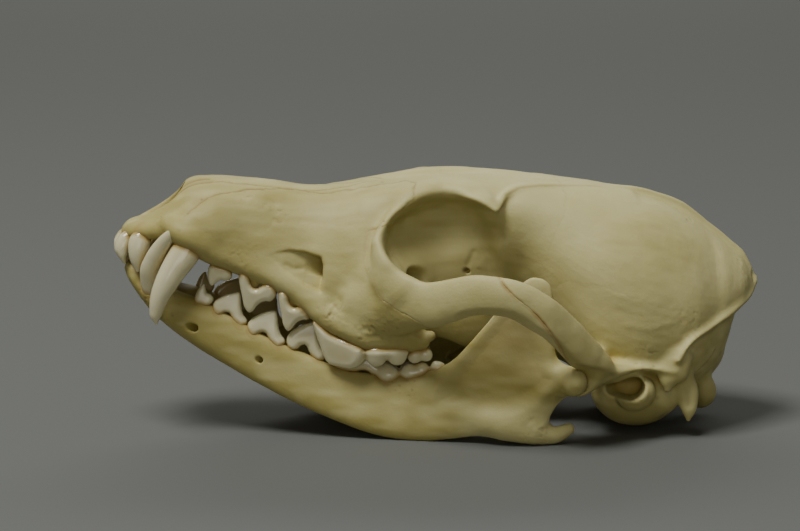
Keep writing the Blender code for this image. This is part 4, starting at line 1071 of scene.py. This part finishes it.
LOWER_INCISORS = (
    each(Stop, (-69.6, 1.2, 36.2, 1, 0.8), (-70.6, 1.3, 38.6, 1.2, 1), (-70.7, 1.4, 40.6, 0.6, 0.9)),
    each(Stop, (-68.9, 3, 35.8, 1, 0.9), (-69.7, 3.2, 38.2, 1.3, 1.1), (-69.7, 3.3, 40.2, 0.6, 0.9)),
    each(Stop, (-67.4, 4.6, 35.4, 1.2, 1), (-68.3, 4.8, 37.6, 1.4, 1.2), (-68.2, 4.9, 39.8, 0.6, 0.9)),
)
# The cusps and shelves of the molars, as ellipsoids.
UPPER_MOLARS = (
    each(Ball,
        (-15, 19.1, 19.7, 2.4, 1.9, 2.7), (-10.4, 19.3, 19.7, 2.3, 1.8, 2.4),
        (-12.8, 19.9, 20.4, 4.9, 1.3, 1.1), (-12.8, 15.4, 21.2, 3.6, 4.4, 1.6),
        (-13.6, 14, 20.2, 1.6, 1.4, 1.6), (-11.4, 12.4, 21, 2.2, 1.8, 1.3),
    ),
    each(Ball,
        (-6.3, 17.5, 19.1, 1.7, 1.5, 1.8), (-3.7, 17.1, 19.1, 1.5, 1.3, 1.5),
        (-5, 14.8, 20, 2.4, 2.9, 1.4), (-5.2, 13.6, 19.4, 1.1, 1.1, 1.1),
    ),
)
LOWER_MOLARS = (
    each(Ball, (-12, 15.6, 14, 2.6, 1.9, 2.2), (-12.6, 13.2, 14.6, 2.2, 1.6, 2.2)),
    each(Ball,
        (-7.4, 16.4, 15, 1.9, 1.7, 2.1), (-4.6, 16.8, 15.5, 1.8, 1.6, 1.9),
        (-6, 16.3, 14.6, 3.5, 1.9, 1.7), (-6.6, 14.8, 15.4, 2.8, 1.2, 1.9),
    ),
    each(Ball,
        (-1.6, 17.5, 16.7, 0.9, 1, 1.1), (-0.4, 17.7, 16.5, 0.9, 1, 1), (-1, 17.6, 16, 1.5, 1.3, 1.2),
    ),
)
# All the teeth of one jaw: the box that holds them, the way that they grow and their sizes.
Row = namedtuple("Row", "box way blades canine incisors molars")
UPPER_ROW = Row(((-77, 0, 12), (1, 23, 52)), -1, UPPER_BLADES, UPPER_CANINE, UPPER_INCISORS, UPPER_MOLARS)
LOWER_ROW = Row(((-76, 0, 6), (3, 22, 50)), 1, LOWER_BLADES, LOWER_CANINE, LOWER_INCISORS, LOWER_MOLARS)


def rounded(outline, per_span=6):
    """A smooth closed curve through the points of an outline."""
    p = np.array(outline, float)
    before, after, beyond = np.roll(p, 1, axis=0), np.roll(p, -1, axis=0), np.roll(p, -2, axis=0)
    made = []
    for t in np.arange(per_span) / per_span:
        made.append(0.5 * (2 * p + (after - before) * t + (2 * before - 5 * p + 4 * after - beyond) * t * t
                           + (3 * p - before - 3 * after + beyond) * t**3))
    return np.stack(made, axis=1).reshape(-1, 2)


def outline_distance(outline, u, w):
    """Signed distance from places in a plane to a closed outline, negative inside."""
    nearest = np.full(u.shape, np.inf)
    inside = np.zeros(u.shape, bool)
    for (ax, ay), (bx, by) in zip(outline, np.roll(outline, -1, axis=0)):
        ex, ey = bx - ax, by - ay
        t = np.clip(((u - ax) * ex + (w - ay) * ey) / (ex * ex + ey * ey + 1e-12), 0, 1)
        nearest = np.minimum(nearest, (u - ax - t * ex) ** 2 + (w - ay - t * ey) ** 2)
        crosses = (ay > w) != (by > w)
        if ay != by:
            inside ^= crosses & (u < (w - ay) * ex / (by - ay) + ax)
    return np.sqrt(nearest) * np.where(inside, -1, 1)


# The step of the grid in which a tooth's outline is looked up, and how far it reaches past the tooth and
# below the gum line.
LOOKUP_STEP, LOOKUP_MARGIN, LOOKUP_ROOT = 0.08, 3.0, 6.0
# How much thinner a blade is at its top, how that sets in, and where its faces start to round.
BLADE_TAPER, BLADE_TAPER_POWER, BLADE_ROUNDING = 0.62, 1.3, 0.95
BLADE_MARGIN, BLADE_BLEND = 2, 0.3
# A blade's distances are divided by how steeply they change, within these limits.
SLOPE_LIMITS = (0.7, 3.0)


def add_blade(volume, blade, way):
    """A blade-like tooth. way is -1 where it grows down."""
    front, back = np.array(blade.front), np.array(blade.back)
    length = np.linalg.norm(back - front)
    along = (back - front) / length
    across = np.cross((0, 0, 1.0), along)
    across /= np.linalg.norm(across)
    grow = np.cross(along, across)
    grow *= way * math.copysign(1, grow[2])
    shape = rounded(blade.outline) * (length, blade.height)
    low = np.minimum(front, back) - blade.height - BLADE_MARGIN
    high = np.maximum(front, back) + blade.height + BLADE_MARGIN
    start = np.maximum(np.floor(low / volume.voxel).astype(int), volume.corner)
    stop = np.minimum(np.ceil(high / volume.voxel).astype(int), volume.corner + volume.field.shape)
    axes = [np.arange(a, b) * volume.voxel for a, b in zip(start, stop)]
    places = np.stack(np.meshgrid(*axes, indexing="ij"), axis=-1) - front
    u, v, w = places @ along, places @ across, places @ grow
    grid_u = np.arange(-LOOKUP_MARGIN, length + LOOKUP_MARGIN, LOOKUP_STEP)
    grid_w = np.arange(-LOOKUP_ROOT, blade.height + LOOKUP_MARGIN, LOOKUP_STEP)
    table = outline_distance(shape, *np.meshgrid(grid_u, grid_w, indexing="ij"))
    iu = np.clip(((u + LOOKUP_MARGIN) / LOOKUP_STEP).astype(int), 0, len(grid_u) - 1)
    iw = np.clip(((w + LOOKUP_ROOT) / LOOKUP_STEP).astype(int), 0, len(grid_w) - 1)
    edge = table[iu, iw]
    rise = np.clip(w / blade.height, 0, 1)
    half = blade.half * (1 - BLADE_TAPER * rise**BLADE_TAPER_POWER)
    depth = np.clip(-edge / (half * BLADE_ROUNDING), 0, 1)
    thick = half * np.sqrt(np.maximum(1 - (1 - depth) ** 2, 0))
    flat = np.where(edge < 0, np.abs(v) - thick, np.hypot(v, edge))
    slope = np.sqrt(sum(g * g for g in np.gradient(flat, volume.voxel)))
    flat = flat / np.clip(slope, *SLOPE_LIMITS)
    where = tuple(slice(a, b) for a, b in zip(start - volume.corner, stop - volume.corner))
    flat = np.clip(flat, -REACH, REACH).astype(np.float32)
    volume.field[where] = soft_min(volume.field[where], flat, BLADE_BLEND)


def teeth_volume(row):
    """The teeth of one jaw."""
    teeth = Volume(*row.box, TOOTH_VOXEL)
    for blade in row.blades:
        add_blade(teeth, blade, row.way)
    teeth.add(bar(row.canine, up=BACKWARD), 0)
    for stops in row.incisors:
        teeth.add(bar(stops, up=BACKWARD), 0)
    for molar in row.molars:
        for cusp in molar:
            teeth.add(ball(cusp), 1.0)
    return teeth


# Materials

class Shader:
    """A Principled material that is put together node by node. Sizes in it are millimetres."""

    def __init__(self, name, roughness):
        self.material = bpy.data.materials.new(name)
        self.material.use_nodes = True
        self.tree = self.material.node_tree
        self.main = self.tree.nodes["Principled BSDF"]
        self.main.inputs["Roughness"].default_value = roughness
        self.main.inputs["Metallic"].default_value = 0.0

    def node(self, kind, inputs=(), **settings):
        made = self.tree.nodes.new(kind)
        for name, value in settings.items():
            setattr(made, name, value)
        for slot, value in inputs:
            if isinstance(value, bpy.types.NodeSocket):
                self.tree.links.new(value, made.inputs[slot])
            else:
                made.inputs[slot].default_value = value
        return made

    def mark(self, name):
        return self.node("ShaderNodeAttribute", attribute_name=name).outputs["Fac"]

    def colours(self, source, stops):
        """A colour for each value of the source, from (value, colour) stops."""
        ramp = self.node("ShaderNodeValToRGB", [("Fac", source)])
        elements = ramp.color_ramp.elements
        while len(elements) < len(stops):
            elements.new(0.5)
        for element, (place, colour) in zip(elements, stops):
            element.position = place
            element.color = (*colour, 1)
        return ramp.outputs["Color"]

    def between(self, share, first, second, kind="MIX"):
        """A blend of two colours."""
        first, second = (value if isinstance(value, bpy.types.NodeSocket) else (*value, 1)
                         for value in (first, second))
        inputs = [(0, share), (6, first), (7, second)]
        return self.node("ShaderNodeMix", inputs, data_type="RGBA", blend_type=kind).outputs[2]

    def math(self, kind, *values):
        return self.node("ShaderNodeMath", list(enumerate(values)), operation=kind).outputs[0]

    def grain(self, size, detail):
        """Noise from 0 to 1 whose lumps are about size millimetres."""
        places = self.node("ShaderNodeTexCoord").outputs["Object"]
        inputs = [("Vector", places), ("Scale", 1 / (size * MM)), ("Detail", detail)]
        return self.node("ShaderNodeTexNoise", inputs).outputs["Fac"]

    def bumps(self, height, depth, strength):
        """Raise the surface by depth millimetres where the height is 1."""
        inputs = [("Height", height), ("Distance", depth * MM), ("Strength", strength)]
        bump = self.node("ShaderNodeBump", inputs)
        self.tree.links.new(bump.outputs[0], self.main.inputs["Normal"])

    def soften(self, weight, radius, scale):
        self.main.inputs["Subsurface Weight"].default_value = weight
        self.main.inputs["Subsurface Radius"].default_value = radius
        self.main.inputs["Subsurface Scale"].default_value = scale * MM

    def paint(self, colour):
        self.tree.links.new(colour, self.main.inputs["Base Color"])
        return self.material


CREAM = (0.72, 0.665, 0.335)
OLIVE = (0.54, 0.485, 0.18)
TAN = (0.4, 0.34, 0.1)
RUST = (0.36, 0.19, 0.045)
BROWN = (0.16, 0.095, 0.03)
SUTURE_BROWN = (0.28, 0.2, 0.055)
ENAMEL = (0.75, 0.71, 0.45)
OLD_ENAMEL = (0.70, 0.62, 0.38)
NECK = (0.52, 0.39, 0.14)
BONE_ROUGHNESS, BONE_SHEEN, ENAMEL_ROUGHNESS = 0.56, 0.4, 0.2
# How much olive the clouds and tan the patches bring into the cream of bone, and old enamel into new.
CLOUD_OLIVE, PATCH_TAN, CLOUD_ENAMEL = 0.55, 0.22, 0.35
# How much of the tan marks each bone shows.
HEAD_WARMTH, JAW_WARMTH = 0.8, 1.0
COAT, COAT_ROUGHNESS = 0.35, 0.12
# Painted shade: what bone and enamel are multiplied by in a hollow, from its rim to its depth, by the share
# of solid around the point.
BONE_HOLLOW_SHADE = (
    (0.58, (1.0, 1.0, 1.0)), (0.70, (0.97, 0.93, 0.80)), (0.80, (0.88, 0.74, 0.50)),
    (0.92, (0.66, 0.42, 0.18)),
)
ENAMEL_HOLLOW_SHADE = ((0.42, (1.0, 1.0, 1.0)), (0.60, (0.80, 0.70, 0.50)), (0.82, (0.42, 0.26, 0.11)))


def bone_material(name, warmth):
    """Clean dry bone. warmth is how much of its tan marks shows."""
    shader = Shader(name, BONE_ROUGHNESS)
    shader.main.inputs["Specular IOR Level"].default_value = BONE_SHEEN
    clouds = shader.grain(14.0, 3.0)
    patches = shader.grain(3.2, 4.0)
    cream = shader.between(shader.math("MULTIPLY", clouds, CLOUD_OLIVE), CREAM, OLIVE)
    cream = shader.between(shader.math("MULTIPLY", patches, PATCH_TAN), cream, TAN)
    # The tan mark holds tan, and painted shade where bone faces down and in the shaded places.
    tan = shader.math("MULTIPLY", shader.mark("tan"), warmth)
    cream = shader.between(tan, cream, TAN)
    # Painted shade: hollows are darkened and browned.
    depth = shader.colours(shader.mark("hollow"), BONE_HOLLOW_SHADE)
    cream = shader.between(1.0, cream, depth, "MULTIPLY")
    # The stain mark holds stains, and painted shade where bone faces the inside of the mouth.
    cream = shader.between(shader.mark("stain_and_shade"), cream, RUST)
    cream = shader.between(shader.mark("line"), cream, SUTURE_BROWN)
    # On the jaw the pore mark also holds painted shade in the hollow of the ramus.
    cream = shader.between(shader.mark("pore"), cream, BROWN)
    fine = shader.math("ADD", shader.grain(0.55, 3.0), shader.math("MULTIPLY", shader.grain(2.2, 2.0), 0.8))
    shader.bumps(fine, 0.07, 0.6)
    shader.soften(0.22, (1.0, 0.62, 0.25), 1.6)
    return shader.paint(cream)


def enamel_material(name):
    """Glossy old enamel, brown at the neck of each tooth, with painted shade in hollows and in the mouth.
    """
    shader = Shader(name, ENAMEL_ROUGHNESS)
    clouds = shader.grain(2.4, 2.0)
    tint = shader.between(shader.math("MULTIPLY", clouds, CLOUD_ENAMEL), ENAMEL, OLD_ENAMEL)
    # The neck mark holds the stain at each neck, and painted shade where a tooth faces the inside of the
    # mouth.
    tint = shader.between(shader.mark("neck_stain_and_shade"), tint, NECK)
    # Painted shade: hollows are darkened and browned.
    depth = shader.colours(shader.mark("hollow"), ENAMEL_HOLLOW_SHADE)
    tint = shader.between(1.0, tint, depth, "MULTIPLY")
    shader.main.inputs["Coat Weight"].default_value = COAT
    shader.main.inputs["Coat Roughness"].default_value = COAT_ROUGHNESS
    shader.bumps(shader.grain(0.8, 2.0), 0.03, 0.4)
    shader.soften(0.25, (1.0, 0.75, 0.45), 1.2)
    return shader.paint(tint)


# Camera, light and floor

CAMERA_DISTANCE = 620.0
# The nearest and farthest that the camera sees, in metres.
CAMERA_SPAN = (0.05, 50)
# How large the skull is in the photo, and how wide the photo is in pixels.
PIXELS_PER_MM = 4.32
PHOTO_WIDTH = 800
SENSOR = 36.0
LOOK_DOWN, LOOK_ASIDE = math.radians(10.0), math.radians(3.0)
AIM = np.array((-8.73, 0.0, 36.74))
# Lamps and floor, in metres and watts.
Lamp = namedtuple("Lamp", "name place aim size watts colour")
LAMPS = (
    Lamp("key", (-0.40, -0.36, 1.24), (0, 0, 0.03), (0.5, 0.5), 15.8, (1.0, 0.995, 0.98)),
    Lamp("front", (-0.1, -1.1, 0.3), (0, 0, 0.03), (0.5, 0.4), 1.3, (1.0, 0.97, 0.9)),
    Lamp("sweep", (0, 2.1, 1.5), (0, 2.1, 0), (2.4, 0.8), 22.0, (1.0, 1.0, 0.98)),
)
ROOM_COLOUR, ROOM_STRENGTH = (1.0, 0.97, 0.86), 0.11
FLOOR_REACH = 6.0
PAPER, PAPER_ROUGHNESS = (0.128, 0.135, 0.1255), 0.8


def place_camera():
    """Look at the left side from where the photo was taken."""
    level = math.cos(LOOK_DOWN)
    ahead = np.array((math.sin(LOOK_ASIDE) * level, math.cos(LOOK_ASIDE) * level, -math.sin(LOOK_DOWN)))
    right = np.array((math.cos(LOOK_ASIDE), -math.sin(LOOK_ASIDE), 0.0))
    up = np.cross(right, ahead)
    lens = bpy.data.cameras.new("camera")
    lens.sensor_width = SENSOR
    lens.lens = PIXELS_PER_MM * CAMERA_DISTANCE / PHOTO_WIDTH * SENSOR
    lens.clip_start, lens.clip_end = CAMERA_SPAN
    camera = put("camera", lens)
    turn = Matrix(np.stack([right, up, -ahead], axis=1).tolist()).to_4x4()
    camera.matrix_world = Matrix.Translation((AIM - ahead * CAMERA_DISTANCE) * MM) @ turn
    bpy.context.scene.camera = camera


def light_studio():
    """Soft lamps in a dim room."""
    for lamp in LAMPS:
        light = bpy.data.lights.new(lamp.name, "AREA")
        light.shape = "RECTANGLE"
        light.size, light.size_y = lamp.size
        light.energy = lamp.watts
        light.color = lamp.colour
        obj = put(lamp.name, light)
        obj.location = lamp.place
        obj.rotation_mode = "QUATERNION"
        obj.rotation_quaternion = (Vector(lamp.place) - Vector(lamp.aim)).to_track_quat("Z", "Y")
    world = bpy.data.worlds.new("studio")
    world.use_nodes = True
    room = world.node_tree.nodes["Background"].inputs
    room["Color"].default_value = (*ROOM_COLOUR, 1)
    room["Strength"].default_value = ROOM_STRENGTH
    bpy.context.scene.world = world


def lay_floor():
    """A plain sheet of paper under the skull."""
    mesh = bpy.data.meshes.new("floor")
    far = FLOOR_REACH
    mesh.from_pydata([(-far, -far, 0), (far, -far, 0), (far, far, 0), (-far, far, 0)], [], [(0, 1, 2, 3)])
    paper = Shader("floor_paper", PAPER_ROUGHNESS)
    paper.main.inputs["Base Color"].default_value = (*PAPER, 1)
    mesh.materials.append(paper.material)
    floor = put("floor", mesh)


# Ageing of the surfaces, and painted shade

# Round places of painted shade, where the bone is made tanner and darker: under the front of the cheekbone,
# over the incisors and on the side of the braincase.
Shade = namedtuple("Shade", "x y z radius tan")
SHADES = each(Shade, (-8, 25, 30.5, 9, 1), (-66, 8, 47, 8, 0.5), (47, 20, 44, 18, 0.4))
# How tan bone is at the front, low down, with how much less of that at the back, and, as painted shade,
# where it faces down, and how much of its tan the cheekbones keep.
FRONT_TAN, LOW_TAN, LOW_TAN_BACK, UNDER_SHADE, CHEEK_TAN = 0.85, 0.7, 0.5, 0.7, 0.6
# How much tan the heel of the jaw loses, and how much painted shade, in brown, the hollow of the ramus
# gets.
HEEL_CREAM, FOSSA_SHADE = 0.85, 0.42
# How stained bone is at the gum and in a joint and a tooth at its neck, and how much painted shade each
# gets where it faces the inside of the mouth.
GUM_STAIN, JOINT_STAIN, MOUTH_SHADE = 0.55, 0.75, 0.45
NECK_STAIN, MOUTH_TOOTH_SHADE = 0.95, 0.75
# How dark sutures and pores are, and how far off solid counts as crowding a point.
LINE_SHARE, PORE_SHARE = 0.9, 0.8
HOLLOW_RADIUS, TOOTH_HOLLOW_RADIUS = 2.4, 2.0
# How stained a joint is at the front, in shares of its stain behind.
JOINT_FRONT = 0.25
# The sizes and seeds of the stain's blotches, the tan's streaks and its clouds. A streak is longer along
# the skull and leans. The last number is how much the clouds change the tan.
BLOTCH_SIZE, BLOTCH_SEED = 1.6, 7
STREAK_SIZE, STREAK_SEED, STREAK_ALONG, STREAK_LEAN = 1.5, 11, 0.22, 0.1
TAN_CLOUD_SIZE, TAN_CLOUD_SEED, TAN_CLOUD_SHARE = 7.0, 13, 0.25


def mouth(body):
    """How far each point faces the inside of the mouth."""
    x, _, z = body.folded.T
    return step_up(0.1, -0.6, body.facing[:, 1]) * step_up(4, -6, x) * step_up(50, 45, z)


def weather_and_shade(body, own, bones, teeth):
    """Marks for the materials: how deep, stained and tan each point is, each with painted shade in it."""
    # Painted shade: how crowded by solid each point is, which darkens and browns the hollows.
    body.mark("hollow", crowding([own, *bones, *teeth], body.points, HOLLOW_RADIUS))
    gum = body.touching(teeth, 1.0, 0.15)
    behind = step_up(4, 10, body.points[:, 0])
    joint = body.touching(bones, 0.5, 0.15) * (JOINT_FRONT + (1 - JOINT_FRONT) * behind)
    blotch = 0.6 + 0.4 * noise(body.points, BLOTCH_SIZE, BLOTCH_SEED)
    # Stains at the gum and in joints, and painted shade where bone faces the inside of the mouth.
    stain_and_shade = np.maximum.reduce([gum * GUM_STAIN, joint * JOINT_STAIN, mouth(body) * MOUTH_SHADE])
    body.mark("stain_and_shade", np.clip(stain_and_shade * blotch, 0, 1))
    grained = body.points * (STREAK_ALONG, 1, 1) + body.points[:, [2]] * (STREAK_LEAN, 0, 0)
    streaks = 0.5 + 0.5 * noise(grained, STREAK_SIZE, STREAK_SEED)
    x, _, z = body.points.T
    foot = step_up(46, 22, z) * (LOW_TAN - LOW_TAN_BACK * step_up(0, 40, x))
    low = np.maximum(step_up(30, -60, x) * FRONT_TAN, foot)
    # Painted shade: bone that faces down, and the shaded places, are made tanner and darker.
    under = step_up(0.3, -0.6, body.facing[:, 2]) * UNDER_SHADE
    for shade in SHADES:
        strength = step_up(shade.radius, shade.radius * 0.3, body.distance(shade))
        under = np.maximum(under, shade.tan * strength)
    clouds = TAN_CLOUD_SHARE * noise(body.points, TAN_CLOUD_SIZE, TAN_CLOUD_SEED)
    body.mark("tan", np.clip((low + under) * (0.5 + streaks) + clouds, 0, 1))


def carve_head(own, bones, teeth):
    """The cranium's finished surface, from its own volume and its neighbours' volumes."""
    body = Skin(own)
    swell(body, HEAD_SEED)
    press_folds(body, HEAD_FOLDS)
    line = cut_sutures(body, HEAD_SUTURES, SUTURE_SEED)
    pore = np.maximum(roughen(body, HEAD_ROUGH, ROUGH_SEED), sink_pits(body, HEAD_PITS))
    weather_and_shade(body, own, bones, teeth)
    body.mark("line", line * LINE_SHARE)
    body.mark("pore", pore * PORE_SHARE)
    return body


def carve_cheek(own, bones, teeth):
    """The cheekbones' surface, with the same unevenness as the cranium that they meet."""
    body = Skin(own)
    swell(body, HEAD_SEED)
    pore = roughen(body, HEAD_ROUGH, ROUGH_SEED)
    weather_and_shade(body, own, bones, teeth)
    body.mark("tan", body.marks["tan"] * CHEEK_TAN)
    body.mark("pore", pore)
    return body


def carve_jaw(own, bones, teeth):
    """The lower jaw's surface."""
    body = Skin(own)
    inside = sink_fossa(body)
    swell(body, JAW_SEED)
    press_folds(body, JAW_FOLDS)
    pore = np.maximum(roughen(body, JAW_ROUGH, JAW_ROUGH_SEED), sink_pits(body, JAW_PITS))
    weather_and_shade(body, own, bones, teeth)
    x, _, z = body.folded.T
    body.mark("tan", body.marks["tan"] * (1 - HEEL_CREAM * step_up(0, 6, x) * step_up(13, 7, z)))
    # Painted shade, in brown, in the hollow of the ramus, more of it higher up, beside the pores.
    body.mark("pore", np.maximum(pore * PORE_SHARE, FOSSA_SHADE * inside * step_up(8, 28, z)))
    return body


def polish_teeth(own, bones, teeth):
    """The teeth's surface, which is nearly smooth."""
    body = Skin(own)
    body.push(TOOTH_LUMP.height * noise(body.points, TOOTH_LUMP.size, TOOTH_SEED))
    # Painted shade: how crowded by solid each point is, which darkens and browns the hollows.
    body.mark("hollow", crowding([own, *bones, *teeth], body.points, TOOTH_HOLLOW_RADIUS))
    # The stain at each neck, and painted shade where a tooth faces the inside of the mouth.
    body.mark("neck_stain_and_shade", np.maximum(body.touching(bones, 1.0, 0.0) * NECK_STAIN, mouth(body) * MOUTH_TOOTH_SHADE))
    return body


def trim(body, inset=0.01):
    """Keep the points inside the part's box, flat on the floor."""
    low, high = (np.array(corner) / MM for corner in cad_box)
    low[2] = max(low[2], 0)
    body.points = np.clip(body.points, low + inset, high - inset)


def main():
    """Shape and carve the five pieces and set them in the frame."""
    whole = cranium_volume()
    jaw = jaw_volume()
    cheek = whole.copy().keep(cheek_prism(1), PARTING)
    head = whole.cut(cheek_prism(-1), PARTING)
    upper, lower = teeth_volume(UPPER_ROW), teeth_volume(LOWER_ROW)

    light_bone = bone_material("cranium_bone", HEAD_WARMTH)
    jaw_bone = bone_material("jaw_bone", JAW_WARMTH)
    enamel = enamel_material("enamel")
    cranium = ("cranium",)
    jugals, mandibles = ("jugal_left", "jugal_right"), ("mandible_left", "mandible_right")
    for name, carve, own, bones, teeth, nodes, slot, material in (
        ("cranium_bones", carve_head, head, (cheek, jaw), (upper,), cranium, "cranium_bone", light_bone),
        ("cheek_bones", carve_cheek, cheek, (head,), (upper,), jugals, "cheek_bone", light_bone),
        ("jaw_bones", carve_jaw, jaw, (head,), (lower,), mandibles, "jaw_bone", jaw_bone),
        ("upper_teeth", polish_teeth, upper, (head,), (lower,), cranium, "cranium_bone", enamel),
        ("lower_teeth", polish_teeth, lower, (jaw,), (upper,), mandibles, "jaw_bone", enamel),
    ):
        body = carve(own, bones, teeth)
        trim(body)
        piece = mesh_object(name, body.points, body.quads, body.marks, material)
        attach(piece, "root")
        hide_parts(*nodes)
        print(name, len(body.quads), "quads")


main()
place_camera()
light_studio()
lay_floor()
